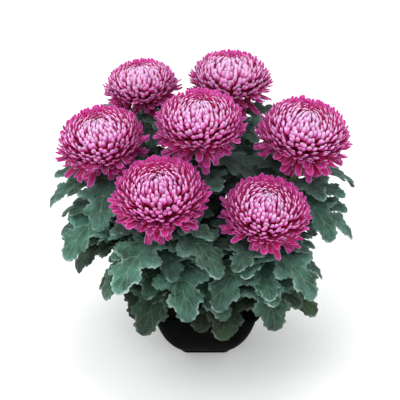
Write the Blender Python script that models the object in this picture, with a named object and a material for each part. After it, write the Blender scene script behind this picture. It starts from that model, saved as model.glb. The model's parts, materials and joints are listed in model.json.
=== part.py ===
"""Pot chrysanthemum: seven incurved blooms on leafy stems, standing in the soil of a square bowl.

Metres, +Z up. The origin is the middle of the bowl's flat base, and -Y is the side that the blooms lean to.
"""

import math
import random

import bpy
from mathutils import Matrix, Vector
from mathutils.bvhtree import BVHTree
from mathutils.geometry import delaunay_2d_cdt

MM = 0.001
GAP = 0.3 * MM
UP = Vector((0, 0, 1))
SHARP_ANGLE = math.radians(35)

# The bowl: a square with rounded corners that bellies out from a small base to its lip.
POT_HEIGHT = 94 * MM
POT_LIP_HEIGHT = 8 * MM
POT_LIP_OVERHANG = 4 * MM
POT_EDGE = 1 * MM
POT_WALL = 3 * MM
POT_FLOOR = 5 * MM
CORNER_SHARE = 0.3
CORNER_STEPS = 3
DRAIN_RADIUS = 5 * MM
DRAIN_SPACING = 20 * MM
DRAIN_SIDES = 8
# Half width and height of the outer wall, from the base to just under the lip.
POT_SIDE = [
    (36 * MM, 0),
    (37 * MM, 4 * MM),
    (43 * MM, 11 * MM),
    (50 * MM, 21 * MM),
    (58.5 * MM, 37 * MM),
    (64.5 * MM, 53 * MM),
    (69 * MM, 69 * MM),
    (72 * MM, 86 * MM),
    (72 * MM, POT_HEIGHT),
]
# Heights at which the inner wall, and the soil against it, change their slope.
INNER_LEVELS = [POT_FLOOR, 12 * MM, 23 * MM, 39 * MM, 55 * MM, 71 * MM]

# The soil fills the bowl and rises a little to the middle.
SOIL_LEVEL = 81 * MM
SOIL_MOUND = 5 * MM
SOIL_TOP = SOIL_LEVEL + SOIL_MOUND
SOIL_RINGS = 3
HOLE_DEPTH = 16 * MM
HOLE_CLEARANCE = 0.4 * MM

# Stems rise from a loose ring in the soil and bow outwards on the way to their blooms.
STEM_FOOT_RADIUS = 4 * MM
STEM_TOP_RADIUS = 3 * MM
STEM_SIDES = 5
STEM_STEPS = 7
STEM_SPREAD = 0.24
STEM_BULGE = 0.65
STEM_PULL = 0.4
CALYX_RADIUS = 9 * MM
CALYX_HEIGHT = 9 * MM

# Each bloom: its centre and its full width.
BLOOMS = {
    "centre": (-8 * MM, 0, 353 * MM, 125 * MM),
    "left": (-136 * MM, 8 * MM, 323 * MM, 127 * MM),
    "right": (127 * MM, 5 * MM, 335 * MM, 131 * MM),
    "back_left": (-88 * MM, 108 * MM, 353 * MM, 110 * MM),
    "back": (34 * MM, 120 * MM, 356 * MM, 123 * MM),
    "front_left": (-57 * MM, -88 * MM, 300 * MM, 128 * MM),
    "front_right": (75 * MM, -88 * MM, 275 * MM, 122 * MM),
}
# Blooms lean out from the middle of the plant, and all of them a little to the front.
LEAN_OUT_PER_METRE = 1.03
LEAN_FRONT = math.radians(6)

# A bloom is drawn with radius 1. Its core is a squashed ball, and petals reach from there to the envelope.
PETAL_COLUMNS = 12
CORE_RADIUS = 0.56
DOME_HEIGHT = 0.74
SKIRT_HEIGHT = 0.56
CROWN_ANGLE = math.radians(8)
CROWN_RISE = 0.2
SOCKET_ANGLE = math.radians(158)
SKIRT_END_ANGLE = math.radians(149)
# Degrees from the top of each ring of petals, at its root, its belly and its tip.
PETAL_ROWS = [
    (22, 14, 5),
    (38, 29, 15),
    (54, 45, 28),
    (70, 62, 44),
    (86, 80, 63),
    (102, 98, 86),
    (119, 116, 112),
    (136, 136, 138),
]
# How far out a petal's sections are, their width as a share of the column's, and their depth.
PETAL_BELLY = 0.66
DOME_SECTIONS = [(PETAL_BELLY, 0.86, 0.09)]
SKIRT_SECTIONS = [(0.5, 0.8, 0.08), (0.9, 0.66, 0.05)]
SKIRT_ROWS = 2
KEEL_SHARE = 0.8
PETAL_JITTER = 0.03

# One half of a leaf's cut edge, as shares of the blade's length: how far along, and how far out.
LEAF_ROOT = -0.2
LEAF_EDGE = [
    (LEAF_ROOT, 0.017),
    (0.02, 0.025),
    (0.15, 0.29),
    (0.28, 0.15),
    (0.42, 0.39),
    (0.56, 0.18),
    (0.72, 0.29),
    (0.82, 0.15),
]
LEAF_RIB = [0.28, 0.56, 0.82]
BLADE_THICKNESS = 0.9 * MM
PETIOLE_THICKNESS = 2 * MM
BLADE_FOLD = math.radians(9)
SPINE_STEPS = 12

# Leaves turn by the golden angle up each stem, drawn towards the plant's outer side.
GOLDEN_TURN = math.radians(137.5)
OUTER_PULL = 0.42
LOWEST_LEAF = 0.16
HIGHEST_LEAF = 0.88
TOP_SHRINK = 0.16
RISE_DEGREES = (12, 28)
LOW_DROOP_DEGREES = -80
TOP_DROOP_GAIN = 34
DROOP_JITTER = 8
# Each stem: how many leaves, the compass turn of its lowest leaf in degrees, and its longest blade.
LEAFINESS = {
    "centre": (9, 250, 102 * MM),
    "left": (10, 170, 106 * MM),
    "right": (10, 20, 106 * MM),
    "back_left": (10, 100, 102 * MM),
    "back": (9, 60, 104 * MM),
    "front_left": (10, 215, 106 * MM),
    "front_right": (10, 300, 106 * MM),
}
# Leaves hang no lower than the rim, and higher the further out they reach.
LEAF_FLOOR = 94 * MM
LEAF_FLOOR_RADIUS = 110 * MM
LEAF_FLOOR_SLOPE = 0.6
LEAF_LIFT = math.radians(6)
# A leaf that would cross something is bent clear of it by small steps.
LEAF_TRIES = 40
LEAF_CLEARANCE = 2.2 * MM
TURN_STEP = math.radians(6)
DROOP_STEP = math.radians(5)
SHARE_STEP = 0.012
SHRINK_STEP = 0.006


def material(name, colour, roughness):
    """A plain Principled material."""
    made = bpy.data.materials.new(name)
    made.use_nodes = True
    shader = made.node_tree.nodes["Principled BSDF"]
    shader.inputs["Base Color"].default_value = (*colour, 1)
    shader.inputs["Roughness"].default_value = roughness
    shader.inputs["Metallic"].default_value = 0
    return made


def solid(name, points, faces, finish=None, collection=None):
    """A mesh object from points and faces."""
    mesh = bpy.data.meshes.new(name)
    mesh.from_pydata([tuple(p) for p in points], [], faces)
    if finish:
        mesh.materials.append(finish)
    made = bpy.data.objects.new(name, mesh)
    (collection or bpy.context.scene.collection).objects.link(made)
    return made


def gathered(name):
    """An empty collection for the solids that one Boolean takes in."""
    made = bpy.data.collections.new(name)
    bpy.context.scene.collection.children.link(made)
    return made


def combined(host, extras, operation, solver="EXACT"):
    """Applies one Boolean between a solid and a collection of others, and drops the others."""
    boolean = host.modifiers.new("combine", "BOOLEAN")
    boolean.operation = operation
    boolean.operand_type = "COLLECTION"
    boolean.collection = extras
    boolean.solver = solver
    graph = bpy.context.evaluated_depsgraph_get()
    mesh = bpy.data.meshes.new_from_object(host.evaluated_get(graph))
    host.modifiers.clear()
    host.data = mesh
    for other in list(extras.objects):
        bpy.data.objects.remove(other)
    bpy.data.collections.remove(extras)
    return host


def lofted(rings):
    """Points and faces of closed rings joined in order, with both ends capped."""
    count = len(rings[0])
    faces = []
    for row in range(len(rings) - 1):
        low, high = row * count, (row + 1) * count
        for i in range(count):
            j = (i + 1) % count
            faces.append((low + i, low + j, high + j, high + i))
    points = [point for ring in rings for point in ring]
    faces.append(tuple(reversed(range(count))))
    faces.append(tuple(range(len(points) - count, len(points))))
    return points, faces


def circle(centre, axis, radius, sides):
    """Points round a circle that faces along an axis, set out with no twist."""
    frame = UP.rotation_difference(axis).to_matrix()
    turns = [math.tau * i / sides for i in range(sides)]
    return [centre + frame @ Vector((math.cos(turn), math.sin(turn), 0)) * radius for turn in turns]


def tube(stations, sides):
    """A tube through stations of (point, direction, radius)."""
    return lofted([circle(*station, sides) for station in stations])


def rounded_square(half, height):
    """Points round a square with rounded corners, at one height."""
    corner = half * CORNER_SHARE
    points = []
    for quarter in range(4):
        spin = Matrix.Rotation(math.radians(90) * quarter, 3, "Z")
        for step in range(CORNER_STEPS + 1):
            angle = math.radians(90) * step / CORNER_STEPS
            across = half - corner + corner * math.cos(angle)
            along = half - corner + corner * math.sin(angle)
            points.append(spin @ Vector((across, along, 0)) + UP * height)
    return points


def inner_half(height):
    """Half width of the bowl's inside at a height."""
    for (low_half, low), (high_half, high) in zip(POT_SIDE, POT_SIDE[1:]):
        if height <= high:
            share = (height - low) / (high - low)
            return low_half + (high_half - low_half) * share - POT_WALL


def pot(finish):
    """The bowl: up the outside, over the lip, down the inside, with drain holes through its floor."""
    lip_half = POT_SIDE[-1][0] + POT_LIP_OVERHANG
    profile = POT_SIDE[:-1]
    profile = profile + [(lip_half, POT_HEIGHT - POT_LIP_HEIGHT), (lip_half, POT_HEIGHT - POT_EDGE)]
    profile += [(lip_half - POT_EDGE, POT_HEIGHT), (inner_half(POT_HEIGHT) + POT_EDGE, POT_HEIGHT)]
    profile += [(inner_half(z), z) for z in (POT_HEIGHT - POT_EDGE, SOIL_LEVEL, *reversed(INNER_LEVELS))]
    bowl = solid("pot", *lofted([rounded_square(*place) for place in profile]), finish)
    drains = gathered("drains")
    for quarter in range(4):
        turn = math.radians(90) * quarter
        place = Vector((math.cos(turn), math.sin(turn), 0)) * DRAIN_SPACING
        ends = [(place - UP * POT_FLOOR, UP, DRAIN_RADIUS), (place + UP * 2 * POT_FLOOR, UP, DRAIN_RADIUS)]
        solid("drain", *tube(ends, DRAIN_SIDES), None, drains)
    return combined(bowl, drains, "DIFFERENCE")


def soil(finish):
    """The soil: it fills the bowl, mounds up to the middle, and has a hole for each stem."""
    rings = []
    for z in [POT_FLOOR + GAP, *INNER_LEVELS[1:], SOIL_LEVEL]:
        rings.append(rounded_square(inner_half(z) - GAP, z))
    edge = rings[-1]
    for ring in range(1, SOIL_RINGS):
        share = ring / SOIL_RINGS
        rise = SOIL_MOUND * math.sin(math.radians(90) * share)
        rings.append([Vector((p.x * (1 - share), p.y * (1 - share), SOIL_LEVEL + rise)) for p in edge])
    body = solid("soil", *lofted(rings), finish)
    holes = gathered("holes")
    radius = STEM_FOOT_RADIUS + HOLE_CLEARANCE
    for name in BLOOMS:
        foot = stem_foot(name)
        ends = [(foot - UP * HOLE_DEPTH, UP, radius), (foot + UP * HOLE_DEPTH, UP, radius)]
        solid("hole", *tube(ends, STEM_SIDES), None, holes)
    return combined(body, holes, "DIFFERENCE")


def bloom_place(name):
    """A bloom's centre, its upward axis and its radius."""
    x, y, z, width = BLOOMS[name]
    centre = Vector((x, y, z))
    outward = Vector((x, y, 0))
    lean_out = Matrix.Rotation(outward.length * LEAN_OUT_PER_METRE, 3, UP.cross(outward))
    lean_front = Matrix.Rotation(LEAN_FRONT, 3, "X")
    return centre, lean_front @ lean_out @ UP, width / 2


def stem_foot(name):
    """Where a stem leaves the soil."""
    centre, _, _ = bloom_place(name)
    return Vector((centre.x * STEM_SPREAD, centre.y * STEM_SPREAD, SOIL_TOP))


def stem_top(name):
    """The middle of the calyx's top, just under the bloom's flat socket."""
    centre, axis, radius = bloom_place(name)
    return centre + axis * (radius * on_shell(SOCKET_ANGLE, 0, 0).z - GAP)


def stem_path(name, share):
    """A point on the stem, from the soil at share 0 to the calyx's top at share 1."""
    _, axis, _ = bloom_place(name)
    foot, top = stem_foot(name), stem_top(name)
    rise = (top.z - foot.z) * STEM_PULL
    outward = Vector((top.x - foot.x, top.y - foot.y, 0)) * STEM_BULGE
    low, high = foot + UP * rise + outward, top - axis * rise
    left = 1 - share
    return foot * left**3 + low * 3 * left**2 * share + high * 3 * left * share**2 + top * share**3


def stem_heading(name, share):
    """The stem's direction at a share of its way."""
    step = 0.01
    return (stem_path(name, share + step) - stem_path(name, share - step)).normalized()


def stem_stations(name):
    """The stem's stretch in the soil, its way up, and the calyx that its bloom sits on."""
    foot, top = stem_foot(name), stem_top(name)
    _, axis, _ = bloom_place(name)
    stations = [(foot - UP * (HOLE_DEPTH - GAP), UP, STEM_FOOT_RADIUS), (foot, UP, STEM_FOOT_RADIUS)]
    neck = 1 - CALYX_HEIGHT / (top - foot).length
    for step in range(1, STEM_STEPS + 1):
        share = neck * step / STEM_STEPS
        radius = STEM_FOOT_RADIUS + (STEM_TOP_RADIUS - STEM_FOOT_RADIUS) * share
        stations.append((stem_path(name, share), stem_heading(name, share), radius))
    stations.append((top - axis * CALYX_HEIGHT / 2, axis, CALYX_RADIUS * 0.75))
    stations.append((top, axis, CALYX_RADIUS))
    return stations


def on_shell(angle, turn, rise):
    """A point of a bloom, by its angle from the top, its turn round the axis, and its rise above the core."""
    reach = CORE_RADIUS + (1 - CORE_RADIUS) * rise
    squash = DOME_HEIGHT if math.cos(angle) > 0 else SKIRT_HEIGHT
    across = reach * math.sin(angle)
    return Vector((across * math.cos(turn), across * math.sin(turn), reach * squash * math.cos(angle)))


def petal_section(angles, turn, rise, width, depth):
    """Four points round a petal: its keel, right edge, inner face and left edge."""
    root, belly, tip = angles
    if rise <= PETAL_BELLY:
        angle = root + (belly - root) * rise / PETAL_BELLY
    else:
        angle = belly + (tip - belly) * (rise - PETAL_BELLY) / (1 - PETAL_BELLY)
    middle = on_shell(angle, turn, rise)
    downward = (on_shell(angle + 0.02, turn, rise) - middle).normalized()
    outward = (on_shell(angle, turn, rise + 0.02) - middle).normalized()
    keel = (downward + outward).normalized() * depth
    half = width * math.pi / PETAL_COLUMNS * middle.to_2d().length
    side = Vector((-math.sin(turn), math.cos(turn), 0)) * half
    return [middle + keel * KEEL_SHARE, middle + side, middle - keel * (1 - KEEL_SHARE), middle - side]


def bloom_shape(chance):
    """Points and faces of a bloom: each diamond of a lattice round the core grows into a petal."""
    columns = PETAL_COLUMNS
    rows = [[math.radians(degrees) for degrees in row] for row in PETAL_ROWS]
    rings = [CROWN_ANGLE, *(row[0] for row in rows), SKIRT_END_ANGLE]
    points, faces = [], []
    for level, angle in enumerate(rings):
        for i in range(columns):
            points.append(on_shell(angle, math.tau * (i + level % 2 / 2) / columns, 0))

    def at(level, i):
        return level * columns + i % columns

    for level, angles in enumerate(rows, start=1):
        sections = SKIRT_SECTIONS if level > len(rows) - SKIRT_ROWS else DOME_SECTIONS
        for i in range(columns):
            ahead = i + level % 2
            last = [at(level + 1, ahead), at(level, i + 1), at(level - 1, ahead), at(level, i)]
            turn = math.tau * (i + 0.5 + level % 2 / 2) / columns
            sway = chance.uniform(-PETAL_JITTER, PETAL_JITTER)
            reach = 1 + chance.uniform(-PETAL_JITTER, PETAL_JITTER)
            for rise, width, depth in sections:
                section = [len(points) + k for k in range(4)]
                points.extend(petal_section(angles, turn + sway * rise, rise * reach, width, depth))
                faces.extend((last[k], last[(k + 1) % 4], section[(k + 1) % 4], section[k]) for k in range(4))
                last = section
            tip = len(points)
            points.append(on_shell(angles[2] + sway, turn + sway, reach))
            faces.extend((last[k], last[(k + 1) % 4], tip) for k in range(4))

    low = len(rings) - 1
    socket = [len(points) + i for i in range(columns)]
    points.extend(on_shell(SOCKET_ANGLE, math.tau * (i + low % 2 / 2) / columns, 0) for i in range(columns))
    crown = len(points)
    points.append(on_shell(0, 0, CROWN_RISE))
    for i in range(columns):
        faces.append((crown, at(0, i), at(0, i + 1)))
        faces.append((at(0, i), at(1, i), at(0, i + 1)))
        faces.append((at(low - 1, i + low % 2), at(low, i), at(low, i + 1)))
        faces.append((at(low, i), socket[i], socket[(i + 1) % columns], at(low, i + 1)))
    faces.append(tuple(reversed(socket)))
    return points, faces


def bloom(name, finish, chance):
    """One bloom, leaned over and set on its calyx."""
    centre, axis, radius = bloom_place(name)
    points, faces = bloom_shape(chance)
    made = solid("bloom_" + name, [point * radius for point in points], faces, finish)
    made.location = centre
    made.rotation_euler = UP.rotation_difference(axis).to_euler()
    return made


def flat_leaf():
    """The leaf laid flat, as (across, along) points with the edge's first, and the triangles that fill it."""
    right = [Vector((out, along)) for along, out in LEAF_EDGE]
    left = [Vector((-out, along)) for along, out in reversed(LEAF_EDGE)]
    edge = right + [Vector((0, 1))] + left
    points = edge + [Vector((0, along)) for along in LEAF_RIB]
    _, _, triangles, origins, _, _ = delaunay_2d_cdt(points, [], [list(range(len(edge)))], 1, 1e-6)
    return points, len(edge), [tuple(origins[i][0] for i in triangle) for triangle in triangles]


class Leaf:
    """One leaf: where it leaves its stem, which way it heads, and how it arches from its rise to its droop."""

    def __init__(self, stem, share, turn, length, rise, droop):
        self.base = stem_path(stem, share)
        self.heading = Vector((math.cos(turn), math.sin(turn), 0))
        self.length = length
        self.rise = rise
        self.droop = droop

    def slope(self, along):
        """The midrib's angle above the horizon."""
        bend = (along - LEAF_ROOT) / (1 - LEAF_ROOT)
        return self.rise + (self.droop - self.rise) * bend

    def spine(self, along):
        """A point on the midrib, and the leaf's upper side there."""
        point = self.base.copy()
        step = (along - LEAF_ROOT) / SPINE_STEPS
        for i in range(SPINE_STEPS):
            angle = self.slope(LEAF_ROOT + step * (i + 0.5))
            point += (self.heading * math.cos(angle) + UP * math.sin(angle)) * step * self.length
        angle = self.slope(along)
        return point, UP * math.cos(angle) - self.heading * math.sin(angle)

    def shape(self, flat, clearance=0):
        """Points and faces of the stalk and the blade, thickened by a clearance on each face."""
        places, edge_count, triangles = flat
        side = self.heading.cross(UP) * math.cos(BLADE_FOLD)
        upper, under = [], []
        for place in places:
            middle, normal = self.spine(place.y)
            out = place.x * self.length
            middle += side * out + normal * math.sin(BLADE_FOLD) * abs(out)
            thickness = PETIOLE_THICKNESS if place.y == LEAF_ROOT else BLADE_THICKNESS
            upper.append(middle + normal * (thickness / 2 + clearance))
            under.append(middle - normal * (thickness / 2 + clearance))
        count = len(places)
        faces = triangles + [tuple(count + i for i in reversed(triangle)) for triangle in triangles]
        for i in range(edge_count):
            j = (i + 1) % edge_count
            faces += [(j, i, count + i), (j, count + i, count + j)]
        return upper + under, faces


def leaf_plan(stem):
    """Share, turn, length, rise and droop of each leaf of a stem, lowest first."""
    count, start, longest = LEAFINESS[stem]
    x, y, _, _ = BLOOMS[stem]
    outward = math.atan2(y, x)
    pull = OUTER_PULL if math.hypot(x, y) > CALYX_RADIUS else 0
    chance = random.Random(stem)
    plan = []
    for i in range(count):
        share = LOWEST_LEAF + (HIGHEST_LEAF - LOWEST_LEAF) * i / (count - 1)
        turn = math.radians(start) + GOLDEN_TURN * i
        off = (turn - outward + math.pi) % math.tau - math.pi
        length = longest * (1 - TOP_SHRINK * share) * chance.uniform(0.94, 1.06)
        rise = math.radians(chance.uniform(*RISE_DEGREES))
        droop = LOW_DROOP_DEGREES + TOP_DROOP_GAIN * share + chance.uniform(-DROOP_JITTER, DROOP_JITTER)
        plan.append((share, outward + off * (1 - pull), length, rise, math.radians(droop)))
    return plan


def nudged(stem, row, number):
    """A leaf as planned at number 0, and turned, raised and shortened a little more with each number."""
    share, turn, length, rise, droop = row
    swing = (number + 1) // 2 * (1 if number % 2 else -1)
    return Leaf(
        stem,
        share + SHARE_STEP * (number % 4),
        turn + TURN_STEP * swing,
        length * (1 - SHRINK_STEP * number),
        rise - DROOP_STEP * (number % 3),
        droop + DROOP_STEP * (number % 5 - 1),
    )


def above_floor(point):
    """Whether a point is above the sloping floor under the leaves."""
    return point.z > LEAF_FLOOR + LEAF_FLOOR_SLOPE * (point.to_2d().length - LEAF_FLOOR_RADIUS)


def lifted(leaf, flat):
    """The leaf with its tip raised until it hangs above the floor."""
    while leaf.droop < leaf.rise and not all(map(above_floor, leaf.shape(flat)[0])):
        leaf.droop += LEAF_LIFT
        leaf.rise += LEAF_LIFT / 4
    return leaf


def envelope(name):
    """A plain closed shell round a bloom."""
    centre, axis, radius = bloom_place(name)
    stations = []
    for degrees in range(10, 160, 20):
        edge = on_shell(math.radians(degrees), 0, 1) * radius
        stations.append((centre + axis * edge.z, axis, edge.x))
    return tube(stations, PETAL_COLUMNS)


def tree_of(points, faces):
    """A search tree for one solid's surface."""
    return BVHTree.FromPolygons([tuple(point) for point in points], faces)


def object_tree(made):
    """A search tree for an object at the origin."""
    return tree_of([v.co for v in made.data.vertices], [face.vertices[:] for face in made.data.polygons])


def placed_leaves(flat, bodies):
    """For each stem, its leaves from the top down, each at the first nudge that is clear of everything else."""
    blocked = [object_tree(body) for body in bodies] + [tree_of(*envelope(name)) for name in BLOOMS]
    stems = {name: tree_of(*tube(stem_stations(name), STEM_SIDES)) for name in BLOOMS}
    plans = {name: leaf_plan(name) for name in BLOOMS}
    placed = {name: [] for name in BLOOMS}
    while any(plans.values()):
        for name in BLOOMS:
            if not plans[name]:
                continue
            row = plans[name].pop()
            others = blocked + [tree for other, tree in stems.items() if other != name]
            for number in range(LEAF_TRIES):
                leaf = lifted(nudged(name, row, number), flat)
                tree = tree_of(*leaf.shape(flat, LEAF_CLEARANCE))
                if not any(tree.overlap(other) for other in others):
                    blocked.append(tree)
                    placed[name].append(leaf)
                    break
    return placed


def leafy_stem(name, leaves, flat, finish):
    """A stem fused with its leaves."""
    stem = solid("leafy_stem_" + name, *tube(stem_stations(name), STEM_SIDES), finish)
    blades = gathered("blades")
    for leaf in leaves:
        solid("blade", *leaf.shape(flat), finish, blades)
    return combined(stem, blades, "UNION", "MANIFOLD")


def main():
    """Clears the scene and builds every piece under one empty."""
    for old in list(bpy.data.objects):
        bpy.data.objects.remove(old)
    plastic = material("black_plastic", (0.012, 0.014, 0.014), 0.45)
    earth = material("potting_soil", (0.05, 0.035, 0.025), 0.95)
    green = material("leaf_green", (0.08, 0.16, 0.11), 0.6)
    magenta = material("petal_magenta", (0.62, 0.08, 0.33), 0.6)

    pieces = [pot(plastic), soil(earth)]
    flat = flat_leaf()
    for name, leaves in placed_leaves(flat, pieces).items():
        pieces.append(leafy_stem(name, leaves, flat, green))
    chance = random.Random(7)
    pieces += [bloom(name, magenta, chance) for name in BLOOMS]

    plant = bpy.data.objects.new("pot_chrysanthemum", None)
    bpy.context.scene.collection.objects.link(plant)
    for piece in pieces:
        piece.parent = plant
        piece.data.shade_smooth()
        piece.data.set_sharp_from_angle(angle=SHARP_ANGLE)


main()
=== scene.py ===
# %% [markdown]
# # A pot chrysanthemum
# Seven incurved blooms stand on leafy stems in a square black bowl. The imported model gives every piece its
# place and its size, with few faces. This lesson grows the surfaces that are seen in those same places, and
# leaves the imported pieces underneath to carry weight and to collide.

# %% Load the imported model
import itertools
import json
import math
import random

import bpy
from mathutils import Matrix, Vector, noise
from mathutils.bvhtree import BVHTree
from mathutils.geometry import delaunay_2d_cdt, intersect_point_line
from mathutils.kdtree import KDTree

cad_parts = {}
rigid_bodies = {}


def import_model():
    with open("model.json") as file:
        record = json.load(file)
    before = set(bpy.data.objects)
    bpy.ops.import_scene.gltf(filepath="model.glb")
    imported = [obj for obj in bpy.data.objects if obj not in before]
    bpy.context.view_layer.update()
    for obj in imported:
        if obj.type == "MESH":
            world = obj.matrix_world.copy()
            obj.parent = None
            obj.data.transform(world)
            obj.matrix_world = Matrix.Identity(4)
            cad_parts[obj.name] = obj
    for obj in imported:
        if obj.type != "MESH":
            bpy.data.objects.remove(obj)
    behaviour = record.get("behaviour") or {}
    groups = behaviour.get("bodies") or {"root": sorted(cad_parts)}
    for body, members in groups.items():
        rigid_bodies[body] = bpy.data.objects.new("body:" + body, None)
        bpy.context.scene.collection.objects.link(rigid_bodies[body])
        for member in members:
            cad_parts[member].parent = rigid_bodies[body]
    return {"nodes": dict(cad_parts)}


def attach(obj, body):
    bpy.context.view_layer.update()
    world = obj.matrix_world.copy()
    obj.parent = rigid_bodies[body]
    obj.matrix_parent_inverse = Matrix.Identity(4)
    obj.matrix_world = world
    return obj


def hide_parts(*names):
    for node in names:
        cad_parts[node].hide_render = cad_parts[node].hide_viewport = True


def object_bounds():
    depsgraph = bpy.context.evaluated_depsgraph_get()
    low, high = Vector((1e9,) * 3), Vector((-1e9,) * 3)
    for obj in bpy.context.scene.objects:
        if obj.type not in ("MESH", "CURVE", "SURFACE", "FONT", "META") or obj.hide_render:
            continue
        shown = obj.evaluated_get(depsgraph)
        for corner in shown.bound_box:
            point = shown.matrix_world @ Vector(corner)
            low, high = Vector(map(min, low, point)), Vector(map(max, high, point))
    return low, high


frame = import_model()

MM = 0.001
UP = Vector((0, 0, 1))
cad_low, cad_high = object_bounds()
print("packed nodes", len(frame["nodes"]), "size mm", [round(side / MM) for side in cad_high - cad_low])

# %% [markdown]
# ## The studio
# The plant is seen from a little above, far enough away that near and far blooms keep nearly the same size.
# A long lens does that. The floor is matt and almost white, so that it throws soft light back up under the
# leaves.

# %% The camera
VIEW_TARGET = Vector((-8, 0, 240.5)) * MM
VIEW_DISTANCE = 1400 * MM
VIEW_ELEVATION = math.radians(33)
VIEW_LENS = 93.3


def in_scene(name, data):
    """A new object that is linked to the scene."""
    made = bpy.data.objects.new(name, data)
    bpy.context.scene.collection.objects.link(made)
    return made


back = Vector((0, -math.cos(VIEW_ELEVATION), math.sin(VIEW_ELEVATION)))
camera = in_scene("camera", bpy.data.cameras.new("camera"))
camera.data.lens = VIEW_LENS
camera.location = VIEW_TARGET + back * VIEW_DISTANCE
camera.rotation_euler = back.to_track_quat("Z", "Y").to_euler()
bpy.context.scene.camera = camera
print("camera at mm", [round(value / MM) for value in camera.location])

# %% [markdown]
# ## Colours, nodes and sums
# Materials and geometry trees are both made of nodes, so one function adds a node and says what comes out of
# it. A sum that takes many nodes is written as rows, like a worksheet: a name, what is done, and to what.

# %% Colours and nodes
def linear(code):
    """An sRGB hex colour as linear red, green, blue and alpha."""
    shares = [int(code[i : i + 2], 16) / 255 for i in (1, 3, 5)]
    return (*(c / 12.92 if c <= 0.04045 else ((c + 0.055) / 1.055) ** 2.4 for c in shares), 1)


def add(tree, kind, inputs=None, take=None, **settings):
    """Adds a node with its settings. Each input takes a value, or the socket that it is linked from.

    It gives back the output that take names, or else the first one that the settings leave in use.
    """
    node = tree.nodes.new(kind)
    for name, value in settings.items():
        setattr(node, name, value)
    for key, value in (inputs or {}).items():
        if isinstance(value, bpy.types.NodeSocket):
            tree.links.new(value, node.inputs[key])
        else:
            node.inputs[key].default_value = value
    if take is None:
        return next((socket for socket in node.outputs if socket.enabled), None)
    return node.outputs[take]


def worked(tree, known, rows):
    """Adds a node for each row, and keeps what comes out of it in known, under the row's name.

    A row holds a kind of node, or in capitals what a Math node does, and then its inputs in order. An input
    is a number, or the name of something that is known by then.
    """
    for name, (kind, *sources) in rows.items():
        inputs = {place: known.get(source, source) for place, source in enumerate(sources)}
        if kind.isupper():
            known[name] = add(tree, "ShaderNodeMath", inputs, operation=kind)
        else:
            known[name] = add(tree, kind, inputs)


def shaded(name, **values):
    """A new material, its tree and its Principled shader, with plain values set on the shader's sockets."""
    made = bpy.data.materials.new(name)
    made.use_nodes = True
    shader = made.node_tree.nodes["Principled BSDF"]
    for label, value in values.items():
        shader.inputs[label.replace("_", " ").title().replace("Ior", "IOR")].default_value = value
    return made, made.node_tree, shader


def surfaced(tree, shader, colour, relief, strength, depth):
    """Gives a shader its colour, and a relief as deep as the real one."""
    tree.links.new(colour, shader.inputs["Base Color"])
    bump = add(tree, "ShaderNodeBump", {"Strength": strength, "Distance": depth, "Height": relief})
    tree.links.new(bump, shader.inputs["Normal"])


# %% [markdown]
# ## The floor and its light
# Soft light from large lamps shows the form of every petal and leaf without hard shadows.

# %% The floor and its light
FLOOR_HALF = 20
FLOOR_DROP = 0.2 * MM
# Where each lamp hangs and how wide it is, in metres, and its power in watts.
SOFTBOXES = {
    "key": ((-0.9, -0.9, 1.9), 1.3, 17),
    "fill": ((1.5, -1.1, 1.2), 1.4, 5),
    "top": ((0.15, 0.4, 2.1), 1.3, 14),
}

# The board is lit a little from below, like a light table, which keeps the plant's shadow pale.
matt_white, tree, shader = shaded("matt_white_board", roughness=0.9, emission_strength=0.14)
shader.inputs["Emission Color"].default_value = (1, 1, 1, 1)
spots = add(tree, "ShaderNodeTexNoise", {"Scale": 3, "Detail": 2})
share = add(tree, "ShaderNodeMapRange", {0: spots, 3: 0.97, 4: 1})
whites = {0: share, 6: linear("#DCDAD6"), 7: linear("#F7F7F6")}
tree.links.new(add(tree, "ShaderNodeMix", whites, data_type="RGBA"), shader.inputs["Base Color"])

floor_mesh = bpy.data.meshes.new("floor")
quarters = ((-1, -1), (1, -1), (1, 1), (-1, 1))
corners = [(x * FLOOR_HALF, y * FLOOR_HALF, -FLOOR_DROP) for x, y in quarters]
floor_mesh.from_pydata(corners, [], [(0, 1, 2, 3)])
floor_mesh.materials.append(matt_white)
floor = in_scene("floor", floor_mesh)

for name, (place, size, power) in SOFTBOXES.items():
    lamp = bpy.data.lights.new(name, "AREA")
    lamp.size = size
    lamp.energy = power
    softbox = in_scene(name, lamp)
    softbox.location = place
    softbox.rotation_euler = (Vector(place) - VIEW_TARGET).to_track_quat("Z", "Y").to_euler()

world = bpy.data.worlds.new("studio")
world.use_nodes = True
world.node_tree.nodes["Background"].inputs["Color"].default_value = linear("#F4F6F8")
world.node_tree.nodes["Background"].inputs["Strength"].default_value = 0.85
bpy.context.scene.world = world
bpy.context.scene.view_settings.view_transform = "Standard"
print("soft lights", len(SOFTBOXES))

# %% [markdown]
# ## Helpers for growing things
# Petals, bracts, leaves and crumbs of soil repeat by a rule, so Geometry Nodes place them. Each tree has
# named inputs. A tree runs on an object, and what it made is kept as a plain mesh, so nothing live stays
# behind.

# %% Geometry trees and plain meshes
def new_tree(name, labels):
    """A geometry tree with inputs, named by label with their socket kind, and the sockets they come in by."""
    tree = bpy.data.node_groups.new(name, "GeometryNodeTree")
    for label, kind in {"Geometry": "Geometry", **labels}.items():
        tree.interface.new_socket(label, in_out="INPUT", socket_type="NodeSocket" + kind)
    tree.interface.new_socket("Geometry", in_out="OUTPUT", socket_type="NodeSocketGeometry")
    given = tree.nodes.new("NodeGroupInput").outputs
    return tree, {label: given[label] for label in ("Geometry", *labels)}


def templates_on(tree, given, points, choices):
    """Sets a template on each point. The choices, by input number, say which one, how turned and how big."""
    shelf = add(tree, "GeometryNodeCollectionInfo", {0: given["Templates"], 1: True, 2: True})
    return add(tree, "GeometryNodeInstanceOnPoints", {0: points, 2: shelf, 3: True, **choices})


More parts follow.
